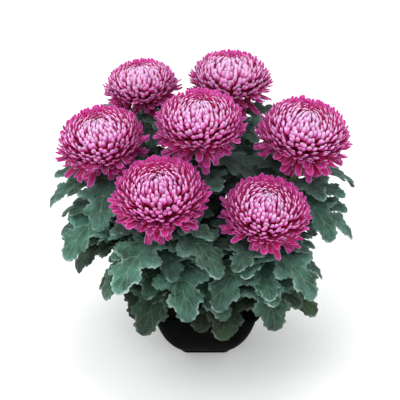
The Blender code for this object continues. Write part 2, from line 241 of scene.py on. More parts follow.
def coated(tree, given, geometry):
    """Ends a tree: what stands on its points becomes real faces, and they get their material."""
    real = add(tree, "GeometryNodeRealizeInstances", {0: geometry})
    finish = add(tree, "GeometryNodeSetMaterial", {0: real, 2: given["Finish"]})
    add(tree, "NodeGroupOutput", {0: finish})
    return tree


def grown(source, tree, values):
    """Runs a tree on an object, with its inputs set by identifier, and returns the result as a plain mesh."""
    modifier = source.modifiers.new(tree.name, "NODES")
    modifier.node_group = tree
    for item in tree.interface.items_tree:
        if item.in_out == "INPUT" and item.name in values:
            modifier[item.identifier] = values[item.name]
    graph = bpy.context.evaluated_depsgraph_get()
    mesh = bpy.data.meshes.new_from_object(source.evaluated_get(graph))
    source.modifiers.remove(modifier)
    return mesh


def mesh_of(name, points, faces, finish=None, values=None):
    """A smooth mesh with a material, and float values or vectors stored on its points or faces by name."""
    mesh = bpy.data.meshes.new(name)
    mesh.from_pydata([tuple(point) for point in points], [], faces)
    if finish:
        mesh.materials.append(finish)
    for label, (domain, numbers) in (values or {}).items():
        wide = isinstance(numbers[0], Vector)
        layer = mesh.attributes.new(label, "FLOAT_VECTOR" if wide else "FLOAT", domain)
        flat = [part for number in numbers for part in number] if wide else numbers
        layer.data.foreach_set("vector" if wide else "value", flat)
    mesh.shade_smooth()
    return mesh


def piece(name, mesh, slot, *nodes):
    """Puts a finished mesh in the scene, on the part's one body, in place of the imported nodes."""
    mesh.name = name
    made = in_scene(name, mesh)
    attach(made, "root")
    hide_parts(*nodes)
    triangles = sum(len(face.vertices) - 2 for face in mesh.polygons)
    print(name, triangles, "triangles")
    return made


def between(low, high, share):
    """The value at a share of the way from low to high."""
    return low + (high - low) * share


def smoothstep(low, high, value):
    """0 below low, 1 above high, and a smooth rise between."""
    share = min(max((value - low) / (high - low), 0), 1)
    return share * share * (3 - 2 * share)


def lofted(rings):
    """Points and faces of closed rings joined in order, with both ends capped."""
    count = len(rings[0])
    faces = []
    for row in range(len(rings) - 1):
        low, high = row * count, (row + 1) * count
        faces += [(low + i, low + (i + 1) % count, high + (i + 1) % count, high + i) for i in range(count)]
    points = [point for ring in rings for point in ring]
    return points, faces + [tuple(reversed(range(count))), tuple(range(len(points) - count, len(points)))]


# %% [markdown]
# ## Where the blooms are
# The plant's own rule gives each bloom a centre, a width and a lean: outwards from the middle, and a little
# to the front. The same few numbers drive the imported model.

# %% Bloom places
# Each bloom's centre, by three coordinates, and its width.
BLOOMS = {
    "centre": (-8 * MM, 0, 353 * MM, 125 * MM),
    "left": (-136 * MM, 8 * MM, 323 * MM, 127 * MM),
    "right": (127 * MM, 5 * MM, 335 * MM, 131 * MM),
    "back_left": (-88 * MM, 108 * MM, 353 * MM, 110 * MM),
    "back": (34 * MM, 120 * MM, 356 * MM, 123 * MM),
    "front_left": (-57 * MM, -88 * MM, 300 * MM, 128 * MM),
    "front_right": (75 * MM, -88 * MM, 275 * MM, 122 * MM),
}
LEAN_OUT_PER_METRE = 1.03
LEAN_FRONT = math.radians(6)
# How wide the core is, and how high a bloom is above and below its centre, as shares of its radius.
CORE_RADIUS = 0.56
DOME_HEIGHT = 0.74
SKIRT_HEIGHT = 0.56


def bloom_place(name):
    """A bloom's centre, its upward axis and its radius."""
    x, y, z, width = BLOOMS[name]
    outward = Vector((x, y, 0))
    lean_out = Matrix.Rotation(outward.length * LEAN_OUT_PER_METRE, 3, UP.cross(outward))
    return Vector((x, y, z)), Matrix.Rotation(LEAN_FRONT, 3, "X") @ lean_out @ UP, width / 2


def standing(centre, axis, radius, turn=0):
    """Takes what is drawn with radius 1 round the origin to its place, turned about its own axis."""
    lean = UP.rotation_difference(axis).to_matrix().to_4x4()
    return Matrix.Translation(centre) @ lean @ Matrix.Rotation(turn, 4, "Z") @ Matrix.Scale(radius, 4)


# %% [markdown]
# ## One petal
# A petal leaves the bloom's core straight out and curls inwards over the dome. Its blade is a trough, its
# tip is blunt and hooded like a boat's bow, and at the skirt it lies flat and spreads. A grid of a few
# dozen faces, bent along a spine, makes that shape. Petals that start at the same angle from the top share
# one template.

# %% Petal templates
PETAL_CLASSES = 24
LOOK_AHEAD = 0.01
FIRST_PETAL = math.radians(3)
LAST_PETAL = math.radians(121)
LOOSE_FROM = math.radians(100)
LOOSE_TO = math.radians(112)
# Where a petal's root and its tip are, in degrees from the top of the bloom.
PETAL_REACH = [(0, 0), (22, 11), (38, 25), (54, 41), (70, 58), (88, 77), (104, 95), (113, 112), (121, 138)]
PETAL_STATIONS = [0, 0.25, 0.5, 0.7, 0.84, 0.94, 1]
PETAL_SIDES = [-1, -0.6, 0, 0.6, 1]
# Lengths and widths are shares of the bloom's radius, and places on a petal are shares of its own length.
# A pair gives the tight dome's value and then the loose skirt's.
PETAL_FOOT = CORE_RADIUS * 0.9
PETAL_ROOT = 0.03
PETAL_THICKNESS = 0.012
CROWN_HALF_WIDTH = 0.025
DOME_WIDENING = 0.029
SKIRT_WIDENING = 0.024
CROWN_SHORTER = 0.15
BELLY_SHORTER = 0.05
PETAL_CURL = 1.7
PETAL_TAPER = (0.3, 0.16)
PETAL_CUP = (math.radians(60), math.radians(30))
PETAL_HOOK = (0.054, 0)
HOOK_FROM = 0.72
BLUNT_FROM = 0.86
BLUNT_CLOSE = 0.75
TIP_ROUND = 0.05
PETAL_CREASE = math.radians(100)


def bell(middle, spread, angle):
    """1 where an angle is a middle one, and less on both sides. Middle and spread are in degrees."""
    return math.exp(-(((angle - math.radians(middle)) / math.radians(spread)) ** 2))


def tip_angle(root):
    """The angle from the top at which a petal ends."""
    degrees = math.degrees(root)
    for (low, low_tip), (high, high_tip) in zip(PETAL_REACH, PETAL_REACH[1:]):
        if degrees <= high:
            return math.radians(between(low_tip, high_tip, (degrees - low) / (high - low)))


def on_bloom(angle, reach):
    """A point of a bloom in the XZ plane, by its angle from the top and its distance from the centre."""
    squash = between(SKIRT_HEIGHT, DOME_HEIGHT, smoothstep(-0.2, 0.3, math.cos(angle)))
    return Vector((math.sin(angle), 0, squash * math.cos(angle))) * reach


class Petal:
    """The form of the petals of one class: where they start, how wide and how hollow they are."""

    def __init__(self, root):
        self.root = root
        self.tip = tip_angle(root)
        self.loose = smoothstep(LOOSE_FROM, LOOSE_TO, root)
        self.reach = 1 - BELLY_SHORTER * bell(86, 14, root) - CROWN_SHORTER * bell(0, 24, root)
        dome = smoothstep(math.radians(8), math.radians(70), root)
        self.width = CROWN_HALF_WIDTH + DOME_WIDENING * dome + SKIRT_WIDENING * self.loose
        self.taper = between(*PETAL_TAPER, self.loose)
        self.cup = between(*PETAL_CUP, self.loose)
        self.hook = between(*PETAL_HOOK, self.loose)

    def spine(self, along):
        """The middle of the petal, and the direction that its back faces there."""
        near, far = (self.bare(share) for share in (along - LOOK_AHEAD, along + LOOK_AHEAD))
        heading = (far - near).normalized()
        back = Vector((heading.z, 0, -heading.x))
        bow = max(along - HOOK_FROM, 0) / (1 - HOOK_FROM)
        return self.bare(along) - back * self.hook * bow**2, back

    def bare(self, along):
        """The middle of the petal before its tip is hooked."""
        angle = between(self.root, self.tip, max(along, 0) ** PETAL_CURL)
        return on_bloom(angle, between(PETAL_FOOT, self.reach, along))

    def half_width(self, along):
        """Half the petal's width, which grows from the root and closes to a blunt tip."""
        wide = between(PETAL_ROOT, self.width, smoothstep(0, 0.6, along))
        wide *= 1 - self.taper * smoothstep(0.55, 0.95, along)
        close = max(along - BLUNT_FROM, 0) / (1 - BLUNT_FROM)
        return wide * math.sqrt(1 - BLUNT_CLOSE * close**2)

    def place(self, along, across):
        """A point on the petal's back, and the direction of its thickness there."""
        along -= TIP_ROUND * across**2 * smoothstep(0.8, 1, along)
        middle, back = self.spine(along)
        half = self.half_width(along)
        turn = self.cup * across
        side = Vector((0, math.sin(turn) / math.sin(self.cup) * half, 0))
        inward = back * -((1 - math.cos(turn)) / math.sin(self.cup) * half)
        return middle + side + inward, back * -math.cos(turn) - Vector((0, math.sin(turn), 0))


def petal_mesh(name, petal):
    """A closed petal: its back, and an inner face that meets it at the rim and the tip."""
    points, along_values, across_values, grid = [], [], [], {}
    last, across_last = len(PETAL_STATIONS) - 1, len(PETAL_SIDES) - 1
    for inner in (False, True):
        for i, along in enumerate(PETAL_STATIONS):
            for j, across in enumerate(PETAL_SIDES):
                if inner and (i == last or abs(across) == 1):
                    grid[True, i, j] = grid[False, i, j]
                    continue
                place, depth = petal.place(along, across)
                grid[inner, i, j] = len(points)
                points.append(place + depth * PETAL_THICKNESS if inner else place)
                along_values.append(along)
                across_values.append(across)
    faces, inner_values = [], []
    for inner in (False, True):
        for i in range(last):
            for j in range(across_last):
                ring = [grid[inner, i + up, j + over] for up, over in ((0, 0), (1, 0), (1, 1), (0, 1))]
                faces.append(tuple(reversed(ring)) if inner else tuple(ring))
                inner_values.append(float(inner))
    root = [grid[False, 0, j] for j in range(across_last + 1)]
    root += [grid[True, 0, j] for j in range(across_last - 1, 0, -1)]
    faces.append(tuple(root))
    inner_values.append(0.0)
    values = {
        "along": ("POINT", along_values),
        "across": ("POINT", across_values),
        "inner": ("FACE", inner_values),
    }
    mesh = mesh_of(name, points, faces, None, values)
    mesh.set_sharp_from_angle(angle=PETAL_CREASE)
    return mesh


def template_collection(name, meshes):
    """A collection of template objects, in order. Only geometry trees read it, and it isn't in the scene."""
    made = bpy.data.collections.new(name)
    for mesh in meshes:
        made.objects.link(bpy.data.objects.new(mesh.name, mesh))
    return made


class_angle = (LAST_PETAL - FIRST_PETAL) / PETAL_CLASSES
petal_meshes = []
for number in range(PETAL_CLASSES):
    petal = Petal(FIRST_PETAL + class_angle * (number + 0.5))
    petal_meshes.append(petal_mesh(f"petal_{number:02d}", petal))
petal_templates = template_collection("petal_templates", petal_meshes)
print("petal templates", len(petal_meshes), "with", len(petal_meshes[0].polygons), "faces each")

# %% [markdown]
# ## The golden spiral
# Petals grow one after another, each turned by the golden angle from the last, and pushed outwards by those
# that follow. That is what draws the crossing spirals on the dome. The tree repeats it: a line of points,
# one for each petal, all at the bloom's centre. Each point picks the template of its class, tilts it by
# what is left over, and turns it by the golden angle. Petals of the skirt sway more than those of the dome.

# %% The spiral tree
GOLDEN_TURN = math.radians(137.5)
CORE_FACETS = (24, 14)
CORE_SQUASH = (1, 1, 0.66)
SPIRAL_ANGLES = ("First angle", "Last angle", "Class angle", "Golden turn", "Loose from")
SPIRAL_INPUTS = {
    "Count": "Int",
    **dict.fromkeys((*SPIRAL_ANGLES, "Sway", "Loose sway", "Core", "Crowding", "Fade"), "Float"),
    "Seed": "Int",
    "Templates": "Collection",
    "Finish": "Material",
}


def spiral_tree():
    """Sets templates round the origin on a golden spiral from a first to a last angle."""
    tree, given = new_tree("golden_spiral", SPIRAL_INPUTS)
    chance = {8: given["Seed"]}
    known = {**given, "index": add(tree, "GeometryNodeInputIndex")}
    known["tint"] = add(tree, "FunctionNodeRandomValue", chance, data_type="FLOAT")
    rows = {
        # Equal steps of the cosine would give each petal an equal area. Crowding packs the crown closer.
        "share": ("ShaderNodeMapRange", "index", 0, "Count"),
        "ring": ("POWER", "share", "Crowding"),
        "first": ("COSINE", "First angle"),
        "last": ("COSINE", "Last angle"),
        "cosine": ("ShaderNodeMapRange", "ring", 0, 1, "first", "last"),
        "polar": ("ARCCOSINE", "cosine"),
        "past": ("SUBTRACT", "polar", "First angle"),
        "steps": ("DIVIDE", "past", "Class angle"),
        "number": ("FLOOR", "steps"),
        "part": ("SUBTRACT", "steps", "number"),
        "half": ("SUBTRACT", "part", 0.5),
        "tilt": ("MULTIPLY", "half", "Class angle"),
        "turn": ("MULTIPLY", "index", "Golden turn"),
        "straight": ("ShaderNodeCombineXYZ", 0, "tilt", "turn"),
        # The looser the petals are, the more they sway and the more their lengths differ.
        "loose": ("ShaderNodeMapRange", "polar", "Loose from", "Last angle", 0, "Loose sway"),
        "sway": ("ADD", "Sway", "loose"),
        "short": ("MULTIPLY_ADD", "loose", -0.75, 0.95),
        "long": ("MULTIPLY_ADD", "loose", 0.3, 1.03),
        "size": ("ShaderNodeMapRange", "tint", 0, 1, "short", "long"),
    }
    worked(tree, known, rows)
    drawn = {0: (-1, -1, -1), 1: (1, 1, 1), **chance}
    drawn = add(tree, "FunctionNodeRandomValue", drawn, data_type="FLOAT_VECTOR")
    swung = add(tree, "ShaderNodeVectorMath", {0: drawn, 3: known["sway"]}, operation="SCALE")
    rotation = add(tree, "ShaderNodeVectorMath", {0: known["straight"], 1: swung}, operation="ADD")

    points = add(tree, "GeometryNodeMeshLine", {"Count": given["Count"], "Offset": (0, 0, 0)})
    for label, source in {"ring": "ring", "tint": "tint", "fade": "Fade"}.items():
        points = add(tree, "GeometryNodeStoreNamedAttribute", {0: points, 2: label, 3: known[source]})
    placed = templates_on(tree, given, points, {4: known["number"], 5: rotation, 6: known["size"]})
    ball = add(tree, "GeometryNodeMeshUVSphere", {0: CORE_FACETS[0], 1: CORE_FACETS[1], 2: given["Core"]})
    core = add(tree, "GeometryNodeTransform", {0: ball, 3: CORE_SQUASH})
    both = add(tree, "GeometryNodeJoinGeometry", {0: placed})
    tree.links.new(core, both.node.inputs[0])
    return coated(tree, given, both)


golden_spiral = spiral_tree()
# An empty mesh for the tree to run on.
seedling = in_scene("seedling", bpy.data.meshes.new("seedling"))
print("spiral tree nodes", len(golden_spiral.nodes))

# %% [markdown]
# ## Petal skin
# The petals have two tones. The inner face is deep magenta, and the back is pale lilac pink, so the side of
# the dome that shows backs looks pale, and the far side and the gaps look crimson. Fine veins run from root
# to tip, and the rim and the blunt tip are the palest. A living petal is soft and a little waxy, with light
# in it.

# %% The petal material
# Colours from root to tip. The back has a measure of its own, and the inner face goes by length alone.
PETAL_TONES = {
    "back": [(0, "#DE0A60"), (0.42, "#DC1A88"), (0.64, "#DE46AC"), (0.85, "#E67AC8"), (1, "#FAB4EA")],
    "along": [(0, "#C80A4C"), (0.45, "#D00A64"), (0.8, "#D20E90"), (1, "#D62EA4")],
}


def petal_finish():
    """Living petal: satin, slightly waxy, with some light passing under the skin."""
    looks = {"roughness": 0.5, "ior": 1.4, "subsurface_weight": 0.6, "subsurface_scale": 6 * MM}
    made, tree, shader = shaded("living_petal_skin", **looks)
    shader.inputs["Specular IOR Level"].default_value = 0.2
    shader.inputs["Subsurface Radius"].default_value = (1, 0.2, 0.45)
    known = {}
    for label in ("along", "across", "inner", "tint", "ring", "fade"):
        known[label] = add(tree, "ShaderNodeAttribute", take="Fac", attribute_name=label)
    rows = {
        # Painted shade: petals lower on the bloom are magenta for longer and pale only at their tips.
        "lower": ("ShaderNodeMapRange", "ring", 0.25, 0.62),
        "steeper": ("MULTIPLY_ADD", "lower", 2.4, 1),
        "kept": ("POWER", "along", "steeper"),
        # The blooms that opened first have faded, so their backs are pale from lower down.
        "paler": ("MULTIPLY_ADD", "fade", 0.26, "kept"),
        # More painted shade darkens the backs of the low petals a little.
        "back": ("MULTIPLY_ADD", "lower", -0.1, "paler"),
        # Seven or so veins cross an 8 mm petal, drawn by noise that is stretched along it.
        "wide": ("MULTIPLY", "across", 4.5),
        "own": ("MULTIPLY", "tint", 91),
        "grain": ("ShaderNodeCombineXYZ", "wide", "along", "own"),
        # The rim pales towards the tip. Seen from inside, it is thinner and lets more magenta through.
        "edge": ("ABSOLUTE", "across"),
        "young": ("ShaderNodeMapRange", "along", 0.4, 0.9),
        "outside": ("ShaderNodeMapRange", "inner", 0, 1, 1, 0.45),
        "skirt": ("ShaderNodeMapRange", "ring", 0.78, 0.92, 1, 3.8),
        "both": ("MULTIPLY", "outside", "skirt"),
        "pale": ("MULTIPLY", "both", "young"),
        # Towards the skirt the petals are older and deeper in colour, and darkened by painted shade under the
        # dome.
        "old": ("ShaderNodeMapRange", "ring", 0.3, 0.95, 1.07, 0.58),
        "value": ("ShaderNodeMapRange", "tint", 0, 1, 0.9, 1.14),
        "tint_and_shade": ("MULTIPLY", "value", "old"),
    }
    worked(tree, known, rows)

    tones = {}
    for label, stops in PETAL_TONES.items():
        tones[label] = add(tree, "ShaderNodeValToRGB", {0: known[label]})
        elements = tones[label].node.color_ramp.elements
        for place, _ in stops[1:-1]:
            elements.new(place)
        for element, (_, code) in zip(elements, stops):
            element.color = linear(code)
    faces = {0: known["inner"], 6: tones["back"], 7: tones["along"]}
    skin = add(tree, "ShaderNodeMix", faces, data_type="RGBA")

    veins = add(tree, "ShaderNodeTexNoise", {"Vector": known["grain"], "Scale": 1.6, "Detail": 2})
    streak = add(tree, "ShaderNodeMapRange", {0: veins, 1: 0.35, 2: 0.7, 4: 0.18})
    border = {0: known["edge"], 1: 0.7, 2: 1, 4: 0.6}
    rim = add(tree, "ShaderNodeMapRange", border, interpolation_type="SMOOTHSTEP")
    pale = add(tree, "ShaderNodeMath", {0: rim, 1: known["pale"]}, operation="MULTIPLY")
    for share, code in ((streak, "#F6CDEB"), (pale, "#F2BFE2")):
        skin = add(tree, "ShaderNodeMix", {0: share, 6: skin, 7: linear(code)}, data_type="RGBA")
    varied = add(tree, "ShaderNodeHueSaturation", {"Value": known["tint_and_shade"], "Color": skin})
    surfaced(tree, shader, varied, veins, 0.35, 0.25 * MM)
    return made


petal_skin = petal_finish()
print("petal material nodes", len(petal_skin.node_tree.nodes))

# %% [markdown]
# ## Seven blooms
# Every bloom runs the same tree with its own seed, turn and number of petals, and is then leaned over and
# set on its stem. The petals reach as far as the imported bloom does.

# %% The blooms
# How many petals each bloom has, and how far it has faded.
PETALS = {
    "centre": (690, 0.35),
    "left": (670, 0.4),
    "right": (690, 0.5),
    "back_left": (630, 0.9),
    "back": (670, 1.0),
    "front_left": (690, 0.05),
    "front_right": (670, 0.2),
}

for seed, (name, (count, fade)) in enumerate(PETALS.items(), start=1):
    values = {
        "Count": count,
        "Fade": fade,
        "First angle": FIRST_PETAL,
        "Last angle": LAST_PETAL,
        "Class angle": class_angle,
        "Golden turn": GOLDEN_TURN,
        "Sway": math.radians(3.5),
        "Loose sway": math.radians(21),
        "Loose from": LOOSE_FROM - math.radians(8),
        "Core": CORE_RADIUS * 0.94,
        "Crowding": 1.05,
        "Seed": seed,
        "Templates": petal_templates,
        "Finish": petal_skin,
    }
    mesh = grown(seedling, golden_spiral, values)
    mesh.transform(standing(*bloom_place(name), seed))
    piece("petals_" + name, mesh, "petals", "bloom_" + name)

# %% [markdown]
# ## Stems
# A chrysanthemum's stem is green, a little ribbed, and thins on its way up. It bows outwards and ends in
# the calyx, a shallow cup of green bracts that the bloom sits in. The stem follows one smooth curve from
# the soil to the bloom, so rings of points set along that curve and joined in order are enough to make it.

# %% The path of a stem
SOIL_TOP = 86 * MM
# How far out a stem's foot is, as a share of its bloom's place. Bulge and pull bend the curve between them.
STEM_SPREAD = 0.24
STEM_BULGE = 0.65
STEM_PULL = 0.4
SOCKET_ANGLE = math.radians(158)
CALYX_HEIGHT = 9 * MM
CALYX_GAP = 0.3 * MM


def stem_path(name, share):
    """A point on the stem, from the soil at share 0 to the calyx's top at share 1."""
    centre, axis, radius = bloom_place(name)
    foot = Vector((centre.x * STEM_SPREAD, centre.y * STEM_SPREAD, SOIL_TOP))
    top = centre + axis * (radius * CORE_RADIUS * SKIRT_HEIGHT * math.cos(SOCKET_ANGLE) - CALYX_GAP)
    rise = (top.z - foot.z) * STEM_PULL
    outward = Vector((top.x - foot.x, top.y - foot.y, 0)) * STEM_BULGE
    low, high = foot + UP * rise + outward, top - axis * rise
    left = 1 - share
    return foot * left**3 + low * 3 * left**2 * share + high * 3 * left * share**2 + top * share**3


print("stem heights mm", {name: round((stem_path(name, 1).z - SOIL_TOP) / MM) for name in BLOOMS})

# %% Stem tubes
STEM_ROUND = 10
STEM_RINGS = 44
STEM_FOOT_RADIUS = 4 * MM
STEM_TOP_RADIUS = 3 * MM
STEM_DEPTH = 12 * MM
RIB_DEPTH = 0.09
NODE_SWELL = 0.16
NODE_LENGTH = 0.012
# The cup under the bloom: how far below the calyx's top, as shares of its height, and how wide.
CUP_RINGS = ((0.6, 4.2 * MM), (0.35, 6.6 * MM), (0.12, 8.6 * MM), (0, 9 * MM))


def ring_round(centre, axis, radius, sides, ribs=0):
    """Points round a circle that faces along an axis. Ribs push every other point out."""
    frame_of_ring = UP.rotation_difference(axis).to_matrix()
    points = []
    for i in range(sides):
        turn = math.tau * i / sides
        reach = radius * (1 + ribs * (-1) ** i)
        points.append(centre + frame_of_ring @ Vector((math.cos(turn), math.sin(turn), 0)) * reach)
    return points


def stem_rings(name, leaf_shares):
    """Rings from under the soil to the calyx, ribbed, and swollen a little where each leaf springs."""
    foot, top = stem_path(name, 0), stem_path(name, 1)
    axis = bloom_place(name)[1]
    neck = 1 - CALYX_HEIGHT / (top - foot).length
    rings = [ring_round(foot - UP * STEM_DEPTH, UP, STEM_FOOT_RADIUS, STEM_ROUND)]
    for step in range(STEM_RINGS + 1):
        share = neck * step / STEM_RINGS
        heading = stem_path(name, share + LOOK_AHEAD) - stem_path(name, share - LOOK_AHEAD)
        swell = sum(math.exp(-(((share - spot) / NODE_LENGTH) ** 2)) for spot in leaf_shares)
        radius = between(STEM_FOOT_RADIUS, STEM_TOP_RADIUS, share) * (1 + NODE_SWELL * swell)
        rings.append(ring_round(stem_path(name, share), heading.normalized(), radius, STEM_ROUND, RIB_DEPTH))
    for drop, radius in CUP_RINGS:
        rings.append(ring_round(top - axis * CALYX_HEIGHT * drop, axis, radius, STEM_ROUND))
    return rings


# %% [markdown]
# ## Where the leaves are
# Leaves follow the golden angle up each stem, like the petals, and are drawn towards the plant's outer
# side. Each one arches from its rise to its droop, so its midrib is an arc. The plant then bends a leaf
# that would cross something by small steps, until it is clear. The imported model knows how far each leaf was
# bent: of all the steps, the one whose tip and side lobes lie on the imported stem's own corners is where
# that leaf is.

# %% The leaf rule
LEAF_ROOT = -0.2
OUTER_PULL = 0.42
LOWEST_LEAF = 0.16
HIGHEST_LEAF = 0.88
TOP_SHRINK = 0.16
LENGTH_SPREAD = (0.94, 1.06)
RISE_DEGREES = (12, 28)
LOW_DROOP_DEGREES = -80
TOP_DROOP_GAIN = 34
DROOP_JITTER = 8
PULLED_FROM = 9 * MM
# How many leaves a stem has, the compass turn of its lowest in degrees, and the length of its longest.
LEAFINESS = {
    "centre": (9, 250, 102 * MM),
    "left": (10, 170, 106 * MM),
    "right": (10, 20, 106 * MM),
    "back_left": (10, 100, 102 * MM),
    "back": (9, 60, 104 * MM),
    "front_left": (10, 215, 106 * MM),
    "front_right": (10, 300, 106 * MM),
}


def leaf_plan(stem):
    """Share, turn, length, rise and droop of each leaf of a stem, lowest first."""
    count, start, longest = LEAFINESS[stem]
    x, y, _, _ = BLOOMS[stem]
    outward = math.atan2(y, x)
    pull = OUTER_PULL if math.hypot(x, y) > PULLED_FROM else 0
    chance = random.Random(stem)
    plan = []
    for i in range(count):
        share = between(LOWEST_LEAF, HIGHEST_LEAF, i / (count - 1))
        turn = math.radians(start) + GOLDEN_TURN * i
        off = (turn - outward + math.pi) % math.tau - math.pi
        length = longest * (1 - TOP_SHRINK * share) * chance.uniform(*LENGTH_SPREAD)
        rise = math.radians(chance.uniform(*RISE_DEGREES))
        droop = LOW_DROOP_DEGREES + TOP_DROOP_GAIN * share + chance.uniform(-DROOP_JITTER, DROOP_JITTER)
        plan.append((share, outward + off * (1 - pull), length, rise, math.radians(droop)))
    return plan


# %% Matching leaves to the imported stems
LEAF_TRIES = 40
LEAF_LIFTS = 22
LEAF_LIFT = math.radians(6)
TURN_STEP = math.radians(6)
DROOP_STEP = math.radians(5)
SHARE_STEP = 0.012
SHRINK_STEP = 0.006
BLADE_FOLD = math.radians(9)
MATCH_WITHIN = 0.9 * MM
# A leaf's tip and its widest lobes, as shares of its length: out from the midrib, and along it.
LEAF_CORNERS = [(0, 1), (0.39, 0.42), (-0.39, 0.42)]


def facing(leaf):
    """The level direction that a leaf points in."""
    return Vector((math.cos(leaf["turn"]), math.sin(leaf["turn"]), 0))


def leaf_point(leaf, out, along):
    """A point of a leaf's arched blade, by how far out from the midrib and how far along it is."""
    bend = (leaf["droop"] - leaf["rise"]) / (1 - LEAF_ROOT)
    angle = leaf["rise"] + bend * (along - LEAF_ROOT)
    forward = (math.sin(angle) - math.sin(leaf["rise"])) / bend
    upward = (math.cos(leaf["rise"]) - math.cos(angle)) / bend
    fold = abs(out) * math.sin(BLADE_FOLD)
    forward -= fold * math.sin(angle)
    upward += fold * math.cos(angle)
    across = out * math.cos(BLADE_FOLD)
    ahead = facing(leaf)
    return leaf["base"] + (ahead * forward + UP * upward + ahead.cross(UP) * across) * leaf["length"]


def swing(number):
    """Steps to one side and the other in turn: 0, 1, -1, 2, -2 and so on."""
    return (number + 1) // 2 * (1 if number % 2 else -1)


def steps_of(stem, row):
    """Every way that a planned leaf may have been bent."""
    share, turn, length, rise, droop = row
    for number in range(LEAF_TRIES):
        for lift in range(LEAF_LIFTS):
            yield {
                "share": share + SHARE_STEP * (number % 4),
                "base": stem_path(stem, share + SHARE_STEP * (number % 4)),
                "turn": turn + TURN_STEP * swing(number),
                "length": length * (1 - SHRINK_STEP * number),
                "rise": rise - DROOP_STEP * (number % 3) + LEAF_LIFT / 4 * lift,
                "droop": droop + DROOP_STEP * (number % 5 - 1) + LEAF_LIFT * lift,
            }


def found_leaves(stem):
    """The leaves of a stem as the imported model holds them, from the lowest up."""
    corners = frame["nodes"]["leafy_stem_" + stem].data.vertices
    near = KDTree(len(corners))
    for i, corner in enumerate(corners):
        near.insert(corner.co, i)
    near.balance()
    leaves = []
    for row in leaf_plan(stem):
        best = MATCH_WITHIN * len(LEAF_CORNERS)
        for leaf in steps_of(stem, row):
            missed = near.find(leaf_point(leaf, *LEAF_CORNERS[0]))[2]
            if missed < MATCH_WITHIN:
                missed = sum(near.find(leaf_point(leaf, *corner))[2] for corner in LEAF_CORNERS)
                if missed < best:
                    best, match = missed, leaf
        if best < MATCH_WITHIN * len(LEAF_CORNERS):
            leaves.append(match)
    return leaves


leaves_of = {stem: found_leaves(stem) for stem in LEAFINESS}
print("leaves found", {stem: len(leaves) for stem, leaves in leaves_of.items()})

# %% [markdown]
# ## One leaf, laid flat
# The blade is cut into rounded lobes, and each lobe into small blunt teeth. A few key points give one
# half's outline, a smooth line through them gives the lobes, and shallow scallops along that line give the
# teeth. The veins go in as lines of their own, and the flat shape is filled with triangles that keep those
# lines as edges, so the blade can be creased along its veins and puffed up between them. Four variants keep
# leaves from looking alike.

# %% The flat outline and its veins
# One half of the blade, as shares of its length: how far out, and how far along.
HALF_OUTLINE = [
    (0.011, -0.05), (0.016, 0.0), (0.06, 0.012), (0.15, 0.01), (0.24, 0.05), (0.285, 0.125),
    (0.26, 0.185), (0.19, 0.215), (0.14, 0.24), (0.155, 0.275), (0.235, 0.295), (0.325, 0.335),
    (0.388, 0.405), (0.385, 0.47), (0.33, 0.51), (0.245, 0.525), (0.17, 0.55), (0.165, 0.585),
    (0.215, 0.625), (0.25, 0.69), (0.235, 0.745), (0.185, 0.775), (0.15, 0.8), (0.15, 0.84),
    (0.145, 0.89), (0.11, 0.94), (0.06, 0.98), (0, 1),
]
SIDE_VEINS = [
    [(0, 0.02), (0.12, 0.055), (0.25, 0.13)],
    [(0, 0.15), (0.1, 0.19), (0.22, 0.275), (0.35, 0.42)],
    [(0, 0.42), (0.08, 0.48), (0.16, 0.57), (0.23, 0.69)],
    [(0, 0.66), (0.06, 0.76), (0.11, 0.87)],
    [(0.12, 0.055), (0.19, 0.055)],
    [(0.16, 0.228), (0.25, 0.43)],
    [(0.1, 0.495), (0.14, 0.7)],
]
OUTLINE_STEP = 0.02
TOOTH_EVERY = 0.088
TOOTH_HEIGHT = 0.03
TOOTH_MIDDLE = 0.6
FILL_STEP = 0.055
VEIN_STEP = 0.04
WEDGE = 0.006


def smooth_line(keys, step):
    """Points at about even steps on a smooth line through key points."""
    keys = [Vector(key) for key in keys]
    padded = [keys[0] * 2 - keys[1], *keys, keys[-1] * 2 - keys[-2]]
    line = []
    for before, start, end, after in zip(padded, padded[1:], padded[2:], padded[3:]):
        pieces = max(1, round((end - start).length / step))
        for i in range(pieces):
            t = i / pieces
            cubic = start * 3 - end * 3 + after - before
            square = before * 2 - start * 5 + end * 4 - after
            line.append((start * 2 + (end - before) * t + square * t**2 + cubic * t**3) / 2)
    return line + [keys[-1]]


def toothed(line):
    """The line with shallow rounded teeth that stand outwards from it."""
    made, run = [], 0.0
    for before, point, after in zip([line[0], *line], line, [*line[1:], line[-1]]):
        run += (point - before).length
        along = (after - before).normalized()
        tooth = abs(math.sin(math.pi * run / TOOTH_EVERY))
        # The blade has no teeth where it meets its stalk or at its very tip.
        fade = smoothstep(0.03, 0.12, point.x)
        made.append(point + Vector((along.y, -along.x)) * (tooth - TOOTH_MIDDLE) * TOOTH_HEIGHT * fade)
    return made


def nearest(point, lines):
    """The distance from a point to the nearest of some lines."""
    best = 1
    for line in lines:
        for start, end in zip(line, line[1:]):
            close, share = intersect_point_line(point, start, end)
            close = start if share < 0 else end if share > 1 else close
            best = min(best, (close.to_2d() - point).length)
    return best


# %% The flat blade's triangles
# Filling points stand in rows of even triangles, clear of the veins and the rim by shares of their step.
FILL_LENGTH = 1.1
FILL_ROW = 0.87
FILL_COLUMNS = range(-9, 10)
VEIN_CLEAR = 0.5
RIM_CLEAR = 0.4
MIDRIB_FROM = -0.04
MIDRIB_STEPS = 26
LOBE_SPREAD = (-0.1, 0.08)
CLOSEST = 1e-6


